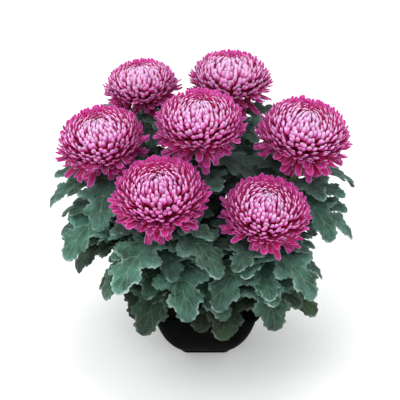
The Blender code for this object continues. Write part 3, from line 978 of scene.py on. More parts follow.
def leaf_lines(chance):
    """A leaf's outline and its veins. Each half is a little wider or narrower than the plan."""
    widths = [1 + chance.uniform(*LOBE_SPREAD) for _ in range(2)]
    half = toothed(smooth_line(HALF_OUTLINE, OUTLINE_STEP))
    right = [Vector((point.x * widths[0], point.y)) for point in half]
    left = [Vector((-point.x * widths[1], point.y)) for point in reversed(half[:-1])]
    veins = [[Vector((0, MIDRIB_FROM + VEIN_STEP * i)) for i in range(MIDRIB_STEPS)]]
    for line in (smooth_line(keys, VEIN_STEP) for keys in SIDE_VEINS):
        for side in (widths[0], -widths[1]):
            veins.append([Vector((point.x * side, point.y)) for point in line])
    return right + left, veins


def filled(outline, veins):
    """Points and triangles that fill an outline and keep the veins as edges."""
    points, edges = list(outline), []
    for line in veins:
        edges += [(len(points) + i, len(points) + i + 1) for i in range(len(line) - 1)]
        points += line
    closed = [*outline, outline[0]]
    for row in range(round(FILL_LENGTH / FILL_STEP / FILL_ROW)):
        for column in FILL_COLUMNS:
            spot = Vector(((column + row % 2 / 2) * FILL_STEP, row * FILL_STEP * FILL_ROW))
            off_vein, off_rim = nearest(spot, veins), nearest(spot, [closed])
            if off_vein > FILL_STEP * VEIN_CLEAR and off_rim > FILL_STEP * RIM_CLEAR:
                points.append(spot)
    ring = [list(range(len(outline)))]
    flat, _, triangles, _, _, _ = delaunay_2d_cdt(points, edges, ring, 1, CLOSEST)
    # A triangle whose corners all lie on veins gets a point in its middle, or it would be one pale patch.
    for triangle in triangles:
        corners = [flat[corner] for corner in triangle]
        middle = sum(corners, Vector((0, 0))) / 3
        if nearest(middle, veins) > WEDGE and all(nearest(corner, veins) < WEDGE / 2 for corner in corners):
            points.append(middle)
    spread, _, triangles, _, _, _ = delaunay_2d_cdt(points, edges, ring, 1, CLOSEST)
    # Points outside the outline belong to no triangle and are left out.
    used = sorted({corner for triangle in triangles for corner in triangle})
    place_of = {corner: place for place, corner in enumerate(used)}
    return [spread[corner] for corner in used], [tuple(place_of[c] for c in row) for row in triangles]


# %% The leaf template
BLADE_THICKNESS = 0.0065
PUFF = 0.026
VEIN_REACH = 0.05
RIM_REACH = 0.05
EDGE_CURL = 0.016
CURL_REACH = 0.035
# Each half waves slowly and, half as high, fast, the more so the further out.
WAVE = 0.026
WAVE_PACES = (13, 29)
WAVE_REACH = (0.06, 0.4)
LEAF_CREASE = math.radians(60)
LEAF_VARIANTS = 4


def leaf_mesh(name, chance):
    """A closed flat blade, creased along its veins and puffed between them."""
    outline, veins = leaf_lines(chance)
    flat, faces = filled(outline, veins)
    phases = [chance.uniform(0, math.tau) for _ in range(4)]
    vein_values = [nearest(point, veins) for point in flat]
    edge_values = [nearest(point, [[*outline, outline[0]]]) for point in flat]
    upper, under = [], []
    for point, vein, edge in zip(flat, vein_values, edge_values):
        puffed = PUFF * smoothstep(0, VEIN_REACH, vein) * smoothstep(0, RIM_REACH, edge)
        side = 0 if point.x > 0 else 2
        slow, fast = (math.sin(point.y * WAVE_PACES[i] + phases[side + i]) for i in range(2))
        waved = WAVE * (slow + fast / 2) * smoothstep(*WAVE_REACH, abs(point.x))
        height = puffed + waved - EDGE_CURL * (1 - smoothstep(0, CURL_REACH, edge))
        upper.append(Vector((point.x, point.y, height + BLADE_THICKNESS / 2)))
        under.append(Vector((point.x, point.y, height - BLADE_THICKNESS / 2)))

    count = len(flat)
    first = [flat[corner] for corner in faces[0]]
    if (first[1] - first[0]).cross(first[2] - first[0]) < 0:
        faces = [tuple(reversed(face)) for face in faces]
    under_values = [0.0] * len(faces) + [1.0] * len(faces)
    sides = {(a, b) for face in faces for a, b in zip(face, face[1:] + face[:1])}
    rim = [(b, a, count + a, count + b) for a, b in sides if (b, a) not in sides]
    faces += [tuple(count + i for i in reversed(face)) for face in faces]
    values = {
        "flat": ("POINT", upper + under),
        "vein": ("POINT", vein_values * 2),
        "margin": ("POINT", edge_values * 2),
        "under": ("FACE", under_values + [0.5] * len(rim)),
    }
    mesh = mesh_of(name, upper + under, faces + rim, None, values)
    mesh.set_sharp_from_angle(angle=LEAF_CREASE)
    return mesh


leaf_chance = random.Random(11)
leaf_meshes = [leaf_mesh(f"leaf_{number}", leaf_chance) for number in range(LEAF_VARIANTS)]
leaf_templates = template_collection("leaf_templates", leaf_meshes)
print("leaf faces", [len(mesh.polygons) for mesh in leaf_meshes])

# %% [markdown]
# ## Leaves on the plant
# One tree sets a flat leaf on each point and bends it. A point carries what its own leaf needs: where it
# springs, its compass turn, length, rise and droop. A midrib whose slope changes evenly is an arc, so its
# sine and cosine give each place along it. The blade is then folded up a little on both sides, and turned.

# %% The leaf tree
POINT_VALUES = {"FLOAT": ("turn", "size", "rise", "droop", "variant"), "FLOAT_VECTOR": ("flat", "base")}


def leaf_tree():
    """Sets a flat leaf on each point, arches it along its midrib, folds it and turns it."""
    labels = {"Fold": "Float", "Templates": "Collection", "Finish": "Material"}
    tree, given = new_tree("arched_leaves", labels)
    known = dict(given)
    for kind, labels in POINT_VALUES.items():
        for label in labels:
            known[label] = add(tree, "GeometryNodeInputNamedAttribute", {0: label}, data_type=kind)
    placed = templates_on(tree, given, given["Geometry"], {4: known["variant"]})
    real = add(tree, "GeometryNodeRealizeInstances", {0: placed})
    split = add(tree, "ShaderNodeSeparateXYZ", {0: known["flat"]}).node.outputs
    known.update({"out": split[0], "along": split[1], "relief": split[2]})
    rows = {
        "span": ("SUBTRACT", "droop", "rise"),
        "bend": ("DIVIDE", "span", 1 - LEAF_ROOT),
        "past": ("SUBTRACT", "along", LEAF_ROOT),
        "angle": ("MULTIPLY_ADD", "past", "bend", "rise"),
        "sine": ("SINE", "angle"),
        "cosine": ("COSINE", "angle"),
        "first sine": ("SINE", "rise"),
        "first cosine": ("COSINE", "rise"),
        "reach": ("SUBTRACT", "sine", "first sine"),
        "ahead": ("DIVIDE", "reach", "bend"),
        "climb": ("SUBTRACT", "first cosine", "cosine"),
        "upward": ("DIVIDE", "climb", "bend"),
        # Both halves are folded up, and the blade's own relief stands on top of that.
        "fold sine": ("SINE", "Fold"),
        "fold cosine": ("COSINE", "Fold"),
        "aside": ("ABSOLUTE", "out"),
        "lift": ("MULTIPLY_ADD", "aside", "fold sine", "relief"),
        "leaned": ("MULTIPLY", "lift", "sine"),
        "forward": ("SUBTRACT", "ahead", "leaned"),
        "height": ("MULTIPLY_ADD", "lift", "cosine", "upward"),
        "narrowed": ("MULTIPLY", "out", "fold cosine"),
        "across": ("MULTIPLY", "narrowed", -1),
        "local": ("ShaderNodeCombineXYZ", "forward", "across", "height"),
    }
    worked(tree, known, rows)
    scaled = add(tree, "ShaderNodeVectorMath", {0: known["local"], 3: known["size"]}, operation="SCALE")
    turned = add(tree, "ShaderNodeVectorRotate", {0: scaled, 3: known["turn"]}, rotation_type="Z_AXIS")
    place = add(tree, "ShaderNodeVectorMath", {0: known["base"], 1: turned}, operation="ADD")
    bent = add(tree, "GeometryNodeSetPosition", {0: real, 2: place})
    return coated(tree, given, bent)


arched_leaves = leaf_tree()
print("leaf tree nodes", len(arched_leaves.nodes))

# %% [markdown]
# ## Leaf skin
# The blade is a dull blue green, matt because short down covers it. Down stands thickest along the rim and
# the veins, which look silvery, and it makes the underside paler. The lowest and oldest leaves lose their
# down and turn a plainer, yellower green. A net of fine veins dimples the skin between the main ones.

# %% The leaf material
# The darkest and lightest skin of a blade, and then what lies over it, each as thickly as its mask says.
LEAF_SKINS = {"young": ("#16372B", "#437665"), "old": ("#16300F", "#406A26")}
LEAF_LAYERS = {
    "thread": "#5F8868",
    "main vein": "#7FA08C",
    "misty": "#649788",
    "patchy": "#A6BFB8",
    "below": "#74907F",
}


def leaf_finish():
    """Downy leaf: matt blue green, silvery at its rim and veins, and pale below."""
    made, tree, shader = shaded("downy_leaf_blade", roughness=0.6, ior=1.42, sheen_weight=0.08)
    shader.inputs["Sheen Roughness"].default_value = 0.5
    known = {}
    for label in ("vein", "margin", "under", "tint", "age"):
        known[label] = add(tree, "ShaderNodeAttribute", take="Fac", attribute_name=label)
    flat = add(tree, "ShaderNodeAttribute", take="Vector", attribute_name="flat")
    known["toward tip"] = add(tree, "ShaderNodeSeparateXYZ", {0: flat}, take=1)
    worked(tree, known, {"own": ("MULTIPLY", "tint", 53), "apart": ("ShaderNodeCombineXYZ", 0, 0, "own")})
    place = add(tree, "ShaderNodeVectorMath", {0: flat, 1: known["apart"]}, operation="ADD")
    for label, scale, detail, roughness in (("clouds", 5, 5, 0.6), ("blotches", 6.5, 2, 0.5)):
        pattern = {"Vector": place, "Scale": scale, "Detail": detail, "Roughness": roughness}
        known[label] = add(tree, "ShaderNodeTexNoise", pattern)
    # Fine net veins enclose fields of about 3 mm on a blade 100 mm long.
    cells = {"Vector": place, "Scale": 32}
    known["net"] = add(tree, "ShaderNodeTexVoronoi", cells, feature="DISTANCE_TO_EDGE")
    spot = add(tree, "ShaderNodeTexCoord", take="Object")
    level = add(tree, "ShaderNodeVectorMath", {0: spot, 1: (1, 1, 0)}, operation="MULTIPLY")
    known["outwards"] = add(tree, "ShaderNodeVectorMath", {0: level}, operation="LENGTH")
    known["height"] = add(tree, "ShaderNodeSeparateXYZ", {0: spot}, take=2)
    rows = {
        "cloudy": ("ShaderNodeMapRange", "clouds", 0.35, 0.65),
        "thread": ("ShaderNodeMapRange", "net", 0, 0.16, 0.3, 0),
        "main vein": ("ShaderNodeMapRange", "vein", 0.001, 0.009, 0.5, 0),
        # The lobes are greyer than the middle of the blade, and less so once old leaves have lost their down.
        "outer": ("ShaderNodeMapRange", "margin", 0, 0.11, 0.5, 0),
        "down": ("ShaderNodeMapRange", "age", 0, 1, 1, 0.25),
        "downy": ("MULTIPLY", "outer", "down"),
        "misty": ("MULTIPLY", "downy", "cloudy"),
        # Silver lies in patches on the rim, most of it near the tip.
        "edge": ("ShaderNodeMapRange", "margin", 0, 0.028, 0.9, 0),
        "tipped": ("ShaderNodeMapRange", "toward tip", 0.3, 0.95, 0.35, 1.3),
        "blotchy": ("ShaderNodeMapRange", "blotches", 0.43, 0.62),
        "clouded": ("MULTIPLY", "blotchy", "tipped"),
        "patchy": ("MULTIPLY", "edge", "clouded"),
        "below": ("MULTIPLY", "under", 0.8),
        "value": ("ShaderNodeMapRange", "tint", 0, 1, 0.62, 1.1),
        # Old leaves, low on the stem, are darker: partly their own duller green, partly painted shade near
        # the pot.
        "worn": ("ShaderNodeMapRange", "age", 0, 1, 1, 0.52),
        "aged": ("MULTIPLY", "value", "worn"),
        # Painted shade: blades deep in the plant and low down are darkened, and the tips that reach out are
        # lightened.
        "open": ("ShaderNodeMapRange", "outwards", 50 * MM, 165 * MM, 0.5, 1.12),
        "high": ("ShaderNodeMapRange", "height", 60 * MM, 210 * MM, 0.2, 1.04),
        "lit": ("MULTIPLY", "open", "high"),
        "aged_and_canopy_shaded": ("MULTIPLY", "aged", "lit"),
        "dimples": ("ShaderNodeMapRange", "net", 0, 0.3),
    }
    worked(tree, known, rows)
    for age, (dark, light) in LEAF_SKINS.items():
        tones = {0: known["cloudy"], 6: linear(dark), 7: linear(light)}
        known[age] = add(tree, "ShaderNodeMix", tones, data_type="RGBA")
    ages = {0: known["age"], 6: known["young"], 7: known["old"]}
    skin = add(tree, "ShaderNodeMix", ages, data_type="RGBA")
    for mask, code in LEAF_LAYERS.items():
        skin = add(tree, "ShaderNodeMix", {0: known[mask], 6: skin, 7: linear(code)}, data_type="RGBA")
    varied = add(tree, "ShaderNodeHueSaturation", {"Value": known["aged_and_canopy_shaded"], "Color": skin})
    surfaced(tree, shader, varied, known["dimples"], 0.9, 0.8 * MM)
    return made


leaf_skin = leaf_finish()
print("leaf material nodes", len(leaf_skin.node_tree.nodes))

# %% [markdown]
# ## Young leaves
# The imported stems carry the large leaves. Smaller ones spring between them and close under the blooms, and
# they hide the ground when the plant is seen from above. Each is tried as planned and then turned and
# shortened by small steps, until a coarse strip of its blade crosses no bloom, stem or leaf.

# %% Young leaves
YOUNG_LEAVES = 25
YOUNG_TRIES = 60
YOUNG_SHARES = (0.38, 0.98)
YOUNG_TURN_STEP = math.radians(13)
YOUNG_TURN_JITTER = 20
YOUNG_LENGTH = 0.92
YOUNG_TOP_SHRINK = 0.36
YOUNG_LENGTH_SPREAD = (0.9, 1.1)
YOUNG_RISE_DEGREES = (18, 40)
YOUNG_DROOP_DEGREES = -62
YOUNG_DROOP_GAIN = 45
YOUNG_DROOP_JITTER = 10
# How far along the coarse strip's places are, and half its width there, lobe by lobe.
STRIP = [
    (0.03, 0.03), (0.13, 0.29), (0.26, 0.2), (0.44, 0.4), (0.57, 0.2), (0.74, 0.29), (0.86, 0.14), (1, 0.02),
]


def strip_points(leaf):
    """Three points across a leaf at each place of the coarse strip."""
    return [leaf_point(leaf, out * side, along) for along, out in STRIP for side in (-1, 0, 1)]


def within(points):
    """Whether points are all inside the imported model's box."""
    return all(a < value < b for point in points for a, value, b in zip(cad_low, point, cad_high))


def blade_strip(points):
    """A search tree over a coarse strip of a leaf's blade."""
    faces = []
    for row in range(0, len(points) - 3, 3):
        faces += [(row, row + 1, row + 4, row + 3), (row + 1, row + 2, row + 5, row + 4)]
    return BVHTree.FromPolygons(points, faces)


def surface_tree(mesh):
    """A search tree over a mesh."""
    corners = [corner.co for corner in mesh.vertices]
    return BVHTree.FromPolygons(corners, [face.vertices[:] for face in mesh.polygons])


def young_leaves(stem, blocked, chance):
    """The smaller leaves of a stem, each at its first try that is clear of what is blocked."""
    placed = []
    _, start, longest = LEAFINESS[stem]
    for row in range(YOUNG_LEAVES):
        share = between(*YOUNG_SHARES, row / (YOUNG_LEAVES - 1))
        jitter = chance.uniform(-YOUNG_TURN_JITTER, YOUNG_TURN_JITTER)
        turn = math.radians(start + jitter) + GOLDEN_TURN * (row + 0.5)
        length = longest * (YOUNG_LENGTH - YOUNG_TOP_SHRINK * share) * chance.uniform(*YOUNG_LENGTH_SPREAD)
        rise = math.radians(chance.uniform(*YOUNG_RISE_DEGREES))
        jitter = chance.uniform(-YOUNG_DROOP_JITTER, YOUNG_DROOP_JITTER)
        droop = math.radians(YOUNG_DROOP_DEGREES + YOUNG_DROOP_GAIN * share + jitter)
        for number in range(YOUNG_TRIES):
            leaf = {
                "share": share,
                "base": stem_path(stem, share),
                "turn": turn + YOUNG_TURN_STEP * swing(number),
                "length": length * (1 - SHRINK_STEP * number),
                "rise": rise - DROOP_STEP * (number % 3),
                "droop": droop + DROOP_STEP * (number % 4),
            }
            points = strip_points(leaf)
            strip = blade_strip(points)
            if within(points) and not any(strip.overlap(other) for other in blocked):
                blocked.append(strip)
                placed.append(leaf)
                break
    return placed


blocked = [surface_tree(node.data) for node in frame["nodes"].values()]
blocked += [surface_tree(bpy.data.objects["petals_" + name].data) for name in BLOOMS]
young_draw = random.Random(11)
young_of = {stem: young_leaves(stem, blocked, young_draw) for stem in LEAFINESS}
print("young leaves", {stem: len(leaves) for stem, leaves in young_of.items()})

# %% The leaves
OLD_UNTIL = (0.28, 0.6)
AGE_JITTER = 0.14


def leaf_points(leaves, chance):
    """A mesh of single points, one for each leaf, that carry what the leaf tree needs."""
    rows = {
        "base": [leaf["base"] for leaf in leaves],
        "variant": [float(chance.randrange(LEAF_VARIANTS)) for _ in leaves],
        "tint": [chance.random() for _ in leaves],
    }
    for label, key in {"turn": "turn", "size": "length", "rise": "rise", "droop": "droop"}.items():
        rows[label] = [leaf[key] for leaf in leaves]
    # Leaves low on the stem are old.
    shares = [leaf["share"] + chance.uniform(-AGE_JITTER, AGE_JITTER) for leaf in leaves]
    rows["age"] = [1 - smoothstep(*OLD_UNTIL, share) for share in shares]
    values = {label: ("POINT", numbers) for label, numbers in rows.items()}
    return mesh_of("leaf_points", [(0, 0, 0)] * len(leaves), [], None, values)


leaf_draw = random.Random(5)
for stem, leaves in leaves_of.items():
    sprig = in_scene("sprig", leaf_points(leaves + young_of[stem], leaf_draw))
    values = {"Fold": BLADE_FOLD, "Templates": leaf_templates, "Finish": leaf_skin}
    mesh = grown(sprig, arched_leaves, values)
    bpy.data.objects.remove(sprig)
    piece("leaves_" + stem, mesh, "foliage", "leafy_stem_" + stem)

# %% [markdown]
# ## Stems, stalks and midribs
# A leaf's stalk runs on under the blade as its midrib, thinner and thinner. The stem, its stalks and its
# midribs are the same green skin, so they are one piece, made of tubes that start inside each other.

# %% Stalks
STALK_ROUND = 6
STALK_STATIONS = [-0.21, -0.14, -0.07, 0, 0.1, 0.22, 0.36, 0.5, 0.64, 0.78, 0.9]
STALK_RADIUS = 1.4 * MM
RIB_END_RADIUS = 0.3 * MM
RIB_SUNK = 0.5
FULL_LENGTH = 100 * MM


def stalk_rings(leaf):
    """Rings along a leaf's stalk and on under its midrib."""
    ahead = facing(leaf)
    scale = min(leaf["length"] / FULL_LENGTH, 1)
    rings = []
    for along in STALK_STATIONS:
        slope = between(leaf["rise"], leaf["droop"], (along - LEAF_ROOT) / (1 - LEAF_ROOT))
        heading = ahead * math.cos(slope) + UP * math.sin(slope)
        upward = UP * math.cos(slope) - ahead * math.sin(slope)
        radius = between(STALK_RADIUS, RIB_END_RADIUS, smoothstep(-0.2, 0.9, along)) * scale
        sunk = RIB_SUNK * smoothstep(-0.1, 0.05, along)
        centre = leaf_point(leaf, 0, along) - upward * sunk * (radius + BLADE_THICKNESS * leaf["length"])
        rings.append(ring_round(centre, heading, radius, STALK_ROUND))
    return rings


def joined(shapes):
    """Several shapes, as points and faces, in one list of each."""
    points, faces = [], []
    for more_points, more_faces in shapes:
        start = len(points)
        points += more_points
        faces += [tuple(start + corner for corner in face) for face in more_faces]
    return points, faces


# %% The stem material
def stem_finish():
    """Green stem skin: satin, ridged lengthwise, and browner near the soil."""
    made, tree, shader = shaded("ridged_green_stem", roughness=0.5, ior=1.42)
    place = add(tree, "ShaderNodeTexCoord", take="Object")
    drawn_out = add(tree, "ShaderNodeMapping", {0: place, 3: (1, 1, 0.12)})
    # Ridges about 1.5 mm apart run up the stem.
    ridges = add(tree, "ShaderNodeTexNoise", {"Vector": drawn_out, "Scale": 650, "Detail": 3})
    height = add(tree, "ShaderNodeSeparateXYZ", {0: place}, take=2)
    risen = add(tree, "ShaderNodeMapRange", {0: height, 1: 90 * MM, 2: 190 * MM})
    skin = linear("#4B4A2A")
    for share, code in ((risen, "#3F5B36"), (ridges, "#7C9468")):
        skin = add(tree, "ShaderNodeMix", {0: share, 6: skin, 7: linear(code)}, data_type="RGBA")
    surfaced(tree, shader, skin, ridges, 0.5, 0.3 * MM)
    return made


stem_skin = stem_finish()
print("stem material nodes", len(stem_skin.node_tree.nodes))

# %% The stems
for stem in LEAFINESS:
    leaves = leaves_of[stem] + young_of[stem]
    shapes = [lofted(stem_rings(stem, [leaf["share"] for leaf in leaves]))]
    shapes += [lofted(stalk_rings(leaf)) for leaf in leaves]
    piece("stem_" + stem, mesh_of("stem", *joined(shapes), stem_skin), "foliage", "leafy_stem_" + stem)

# %% [markdown]
# ## The calyx
# Under each bloom sit rows of small green bracts that overlap like roof tiles and held the bud. They follow
# the golden angle too, so the bloom's own tree places them, near the bottom of a sphere the size of the
# calyx.

# %% Bracts
BRACT_FROM = math.radians(112)
BRACT_TO = math.radians(164)
# One template serves every bract, so its class is a little wider than all of them together.
BRACT_CLASS = BRACT_TO - BRACT_FROM + 0.01
BRACT_COUNT = 44
BRACT_LENGTH = math.radians(42)
BRACT_HALF = 0.2
BRACT_STATIONS = [0, 0.3, 0.6, 0.85, 1]
BRACT_SIDES = [-1, 0, 1]
BRACT_THICKNESS = 0.04
BRACT_LIFT = 0.1
BRACT_HOLLOW = 0.03
CALYX_REACH = 12 * MM


def bract_mesh(name):
    """A pointed scale that hugs a sphere of radius 1, and lifts a little at its tip."""
    middle = (BRACT_FROM + BRACT_TO) / 2
    points, faces = [], []
    for inner in (False, True):
        for along in BRACT_STATIONS:
            angle = middle + BRACT_LENGTH * (0.4 - along)
            reach = 1 + BRACT_LIFT * along**2 - BRACT_THICKNESS * inner
            half = BRACT_HALF * math.sqrt(max(1 - along**3, 0.01)) * (0.7 + 0.3 * math.sin(math.pi * along))
            for across in BRACT_SIDES:
                out = Vector((math.sin(angle), 0, math.cos(angle))) * (reach - BRACT_HOLLOW * across**2)
                points.append(out + Vector((0, half * across, 0)))
    wide, long = len(BRACT_SIDES), len(BRACT_STATIONS)
    count = wide * long
    for i in range(long - 1):
        for j in range(wide - 1):
            ring = [i * wide + j, i * wide + j + 1, (i + 1) * wide + j + 1, (i + 1) * wide + j]
            faces.append(tuple(ring))
            faces.append(tuple(count + corner for corner in reversed(ring)))
    edge = [*range(wide), *(i * wide + wide - 1 for i in range(1, long))]
    edge += [count - 1 - j for j in range(1, wide)] + [i * wide for i in range(long - 2, 0, -1)]
    for a, b in zip(edge, edge[1:] + edge[:1]):
        faces.append((b, a, count + a, count + b))
    return mesh_of(name, points, faces)


bract_shelf = template_collection("bract_templates", [bract_mesh("bract")])
for seed, name in enumerate(BLOOMS, start=31):
    values = {
        "Count": BRACT_COUNT,
        "First angle": BRACT_FROM,
        "Last angle": BRACT_TO,
        "Class angle": BRACT_CLASS,
        "Golden turn": GOLDEN_TURN,
        "Sway": math.radians(4),
        "Loose sway": 0.0,
        "Loose from": BRACT_FROM,
        "Core": 0.9,
        "Crowding": 1.0,
        "Fade": 0.0,
        "Seed": seed,
        "Templates": bract_shelf,
        "Finish": stem_skin,
    }
    mesh = grown(seedling, golden_spiral, values)
    mesh.transform(standing(stem_path(name, 1), bloom_place(name)[1], CALYX_REACH))
    piece("calyx_" + name, mesh, "foliage", "leafy_stem_" + name)

# %% [markdown]
# ## The bowl
# The bowl is moulded in one piece of black polypropylene, which is why its corners are round, its wall is
# one thickness all over, and it widens upwards so that it could be drawn off its mould. Its outline in side
# view is a smooth curve, and every level is a rounded square. Four holes in its floor let water out.

# %% The bowl's shape
# How wide the bowl is from its middle to its side at some heights, foot to lip, in millimetres.
BOWL_SIDE = [(36, 0), (37, 4), (43, 11), (50, 21), (58.5, 37), (64.5, 53), (69, 69), (72, 86)]
BOWL_LIP = [
    (75.2, 86), (75.8, 86.3), (76, 87), (76, 92.8), (75.8, 93.6), (75.2, 94),
    (70, 94), (69.3, 93.7), (69, 93),
]
BOWL_FOOT = [(35.2, 0), (35.8, 0.25)]
BOWL_WALL = 3
BOWL_FLOOR = 5
CORNER_SHARE = 0.3
CORNER_STEPS = 12
PROFILE_STEP = 4
DRAIN_RADIUS = 5
DRAIN_SPACING = 20
DRAIN_ROUND = 28
DRAIN_CUT = (-4, 12)
# The rounded corner between wall and floor: how far in from the wall, and how far above the floor.
FLOOR_CORNER = [(2.5, 0.4), (4, 0)]
BOWL_CREASE = math.radians(32)
QUARTER_TURN = math.radians(90)


def rounded_square(half, height):
    """Points in metres round a square with rounded corners, given in millimetres."""
    corner = half * CORNER_SHARE
    points = []
    for quarter in range(4):
        spin = Matrix.Rotation(QUARTER_TURN * quarter, 3, "Z")
        for step in range(CORNER_STEPS + 1):
            angle = QUARTER_TURN * step / CORNER_STEPS
            across, along = (half - corner + corner * wave(angle) for wave in (math.cos, math.sin))
            points.append(spin @ Vector((across, along, height)) * MM)
    return points


def bowl_mesh(finish):
    """The bowl: up the outside, over the lip, down the inside, with drain holes cut through its floor."""
    outside = [point.to_tuple() for point in smooth_line(BOWL_SIDE, PROFILE_STEP)]
    inside = [(half - BOWL_WALL, height) for half, height in reversed(outside) if height > BOWL_FLOOR + 1]
    floor_ring = [(inside[-1][0] - inwards, BOWL_FLOOR + rise) for inwards, rise in FLOOR_CORNER]
    outer = BOWL_FOOT + [(half, height + 0.5 * (height < 1)) for half, height in outside]
    profile = outer + BOWL_LIP + inside + floor_ring
    bowl = in_scene("bowl", mesh_of("bowl", *lofted([rounded_square(*place) for place in profile])))
    drains = bpy.data.collections.new("drains")
    bpy.context.scene.collection.children.link(drains)
    for quarter in range(4):
        turn = QUARTER_TURN * quarter
        middle = Vector((math.cos(turn), math.sin(turn), 0)) * DRAIN_SPACING * MM
        ends = [ring_round(middle + UP * end * MM, UP, DRAIN_RADIUS * MM, DRAIN_ROUND) for end in DRAIN_CUT]
        drains.objects.link(bpy.data.objects.new("drain", mesh_of("drain", *lofted(ends))))
    cut = bowl.modifiers.new("drain holes", "BOOLEAN")
    cut.operand_type, cut.collection, cut.solver = "COLLECTION", drains, "EXACT"
    mesh = bpy.data.meshes.new_from_object(bowl.evaluated_get(bpy.context.evaluated_depsgraph_get()))
    for old in [bowl, *drains.objects]:
        bpy.data.objects.remove(old)
    bpy.data.collections.remove(drains)
    mesh.materials.clear()
    mesh.materials.append(finish)
    mesh.set_sharp_from_angle(angle=BOWL_CREASE)
    return mesh


# %% The bowl's material
def bowl_finish():
    """Moulded black polypropylene: almost black and fine grained, and duller where dust and water dried."""
    made, tree, shader = shaded("moulded_black_polypropylene", ior=1.49, specular_ior_level=0.006)
    place = add(tree, "ShaderNodeTexCoord", take="Object")
    known = {"height": add(tree, "ShaderNodeSeparateXYZ", {0: place}, take=2)}
    patches = {"Vector": place, "Scale": 28, "Detail": 6, "Roughness": 0.65}
    known["marks"] = add(tree, "ShaderNodeTexNoise", patches)
    rows = {
        "dust": ("ShaderNodeMapRange", "marks", 0.45, 0.75),
        "splash": ("ShaderNodeMapRange", "height", 0, 30 * MM, 0.14, 0.04),
        "dusty": ("MULTIPLY", "dust", "splash"),
        "gloss": ("ShaderNodeMapRange", "dust", 0, 1, 0.36, 0.6),
    }
    worked(tree, known, rows)
    skin = {0: known["dusty"], 6: linear("#060807"), 7: linear("#4A4842")}
    colour = add(tree, "ShaderNodeMix", skin, data_type="RGBA")
    tree.links.new(known["gloss"], shader.inputs["Roughness"])
    # The mould's spark-eroded grain is about 0.5 mm.
    grain = add(tree, "ShaderNodeTexNoise", {"Vector": place, "Scale": 1600, "Detail": 2})
    surfaced(tree, shader, colour, grain, 0.25, 0.1 * MM)
    return made


piece("bowl", bowl_mesh(bowl_finish()), "pot_plastic", "pot")

# %% [markdown]
# ## Potting soil
# The soil is peat compost. It fills the bowl close to the wall and mounds up to the stems. Its surface is
# lumpy, so noise moves it up and down, and loose crumbs lie all over it. A crumb is a dented ball of a few
# faces, and a tree scatters several hundred of them over the top.

# %% The soil's body
SOIL_GAP = 0.3
SOIL_EDGE = 81
SOIL_MOUND = 5
SOIL_RINGS = 16
SOIL_LUMP = 1.3
SOIL_LUMP_SCALE = 90
# How fast the finer lumps fade, how much finer each size is than the last, and how many sizes there are.
SOIL_FRACTAL = (0.6, 2, 4)
SOIL_WALL_GAP = SOIL_GAP + 0.7
SOIL_WALLS = [7, 12, 23, 39, 55, 71, SOIL_EDGE - 3]


def inner_half(height):
    """Half the bowl's inner width in millimetres, at a height in millimetres."""
    for (low_half, low), (high_half, high) in zip(BOWL_SIDE, BOWL_SIDE[1:]):
        if height <= high:
            return between(low_half, high_half, (height - low) / (high - low)) - BOWL_WALL


def soil_mesh(finish):
    """The soil: it follows the wall up to its edge, and its top is a lumpy mound."""
    rings = [rounded_square(inner_half(height) - SOIL_WALL_GAP, height) for height in SOIL_WALLS]
    edge = rounded_square(inner_half(SOIL_EDGE) - SOIL_GAP, SOIL_EDGE)
    for ring in range(SOIL_RINGS):
        share = ring / SOIL_RINGS
        rise = SOIL_MOUND * math.sin(QUARTER_TURN * share) * MM
        spots = [Vector((p.x * (1 - share), p.y * (1 - share), p.z + rise)) for p in edge]
        lumps = [noise.fractal(spot * SOIL_LUMP_SCALE, *SOIL_FRACTAL) for spot in spots]
        rings.append([spot + UP * (lump - 0.5) * SOIL_LUMP * MM for spot, lump in zip(spots, lumps)])
    return mesh_of("soil", *lofted(rings), finish)


def soil_finish(name, dark, light):
    """Damp peat: matt, dark brown, and made of fine fibres and grains."""
    made, tree, shader = shaded(name, roughness=0.95, ior=1.35)
    place = add(tree, "ShaderNodeTexCoord", take="Object")
    fibres = {"Vector": place, "Scale": 420, "Detail": 8, "Roughness": 0.7}
    grains = add(tree, "ShaderNodeTexNoise", fibres)
    shade = add(tree, "ShaderNodeMapRange", {0: grains, 1: 0.35, 2: 0.7})
    tones = {0: shade, 6: linear(dark), 7: linear(light)}
    colour = add(tree, "ShaderNodeMix", tones, data_type="RGBA")
    surfaced(tree, shader, colour, grains, 0.8, 0.5 * MM)
    return made


peat = soil_finish("damp_peat_compost", "#120C08", "#3A2A1E")
ground = piece("potting_soil", soil_mesh(peat), "soil", "soil")

# %% Crumbs
CRUMB_VARIANTS = 4
CRUMB_DENSITY = 42000
CRUMB_SIZES = (0.8 * MM, 3 * MM)
CRUMB_DENTS = (0.65, 1.1)
CRUMB_SIDE = 1.2
FACING_UP = 0.6


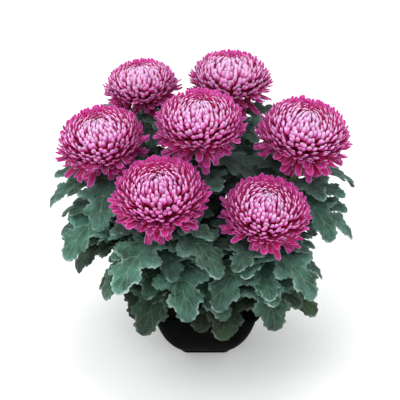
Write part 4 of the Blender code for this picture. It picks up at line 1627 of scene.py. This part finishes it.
def crumb_mesh(name, chance):
    """A dented ball of radius 1 with twenty faces: every three corners that are neighbours make one."""
    golden = (1 + math.sqrt(5)) / 2
    pairs = [(a, b) for a in (-1, 1) for b in (-golden, golden)]
    corners = [Vector(corner).normalized() for a, b in pairs for corner in ((0, a, b), (a, b, 0), (b, 0, a))]
    dented = [corner * chance.uniform(*CRUMB_DENTS) for corner in corners]
    faces = []
    for i, j, k in itertools.permutations(range(len(corners)), 3):
        sides = [(corners[a] - corners[b]).length for a, b in ((i, j), (j, k), (k, i))]
        outward = (corners[j] - corners[i]).cross(corners[k] - corners[i]).dot(corners[i])
        if i == min(i, j, k) and max(sides) < CRUMB_SIDE and outward > 0:
            faces.append((i, j, k))
    mesh = mesh_of(name, dented, faces)
    mesh.shade_flat()
    return mesh


def crumb_tree():
    """Scatters crumbs over the faces that look upwards."""
    labels = {"Density": "Float", "Smallest": "Float", "Largest": "Float", "Seed": "Int"}
    tree, given = new_tree("soil_crumbs", {**labels, "Templates": "Collection", "Finish": "Material"})
    seed = {8: given["Seed"]}
    normal = add(tree, "GeometryNodeInputNormal")
    upward = add(tree, "ShaderNodeSeparateXYZ", {0: normal}, take=2)
    top = add(tree, "FunctionNodeCompare", {0: upward, 1: FACING_UP}, operation="GREATER_THAN")
    spread = {0: given["Geometry"], 1: top, 4: given["Density"], 6: given["Seed"]}
    points = add(tree, "GeometryNodeDistributePointsOnFaces", spread)
    turn = {0: (0, 0, 0), 1: (math.tau, math.tau, math.tau), **seed}
    turned = add(tree, "FunctionNodeRandomValue", turn, data_type="FLOAT_VECTOR")
    known = {**given, "drawn": add(tree, "FunctionNodeRandomValue", seed, data_type="FLOAT")}
    rows = {
        # Most crumbs are small.
        "small": ("POWER", "drawn", 3),
        "size": ("ShaderNodeMapRange", "small", 0, 1, "Smallest", "Largest"),
    }
    worked(tree, known, rows)
    return coated(tree, given, templates_on(tree, given, points, {5: turned, 6: known["size"]}))


crumb_draw = random.Random(3)
crumbs = [crumb_mesh(f"crumb_{number}", crumb_draw) for number in range(CRUMB_VARIANTS)]
crumb_shelf = template_collection("crumb_templates", crumbs)
values = {
    "Density": CRUMB_DENSITY,
    "Smallest": CRUMB_SIZES[0],
    "Largest": CRUMB_SIZES[1],
    "Seed": 8,
    "Templates": crumb_shelf,
    "Finish": soil_finish("dry_peat_crumbs", "#1E150F", "#5A4634"),
}
piece("soil_crumbs", grown(ground, crumb_tree(), values), "soil", "soil")

# %% Remove the seedling
bpy.data.objects.remove(seedling)
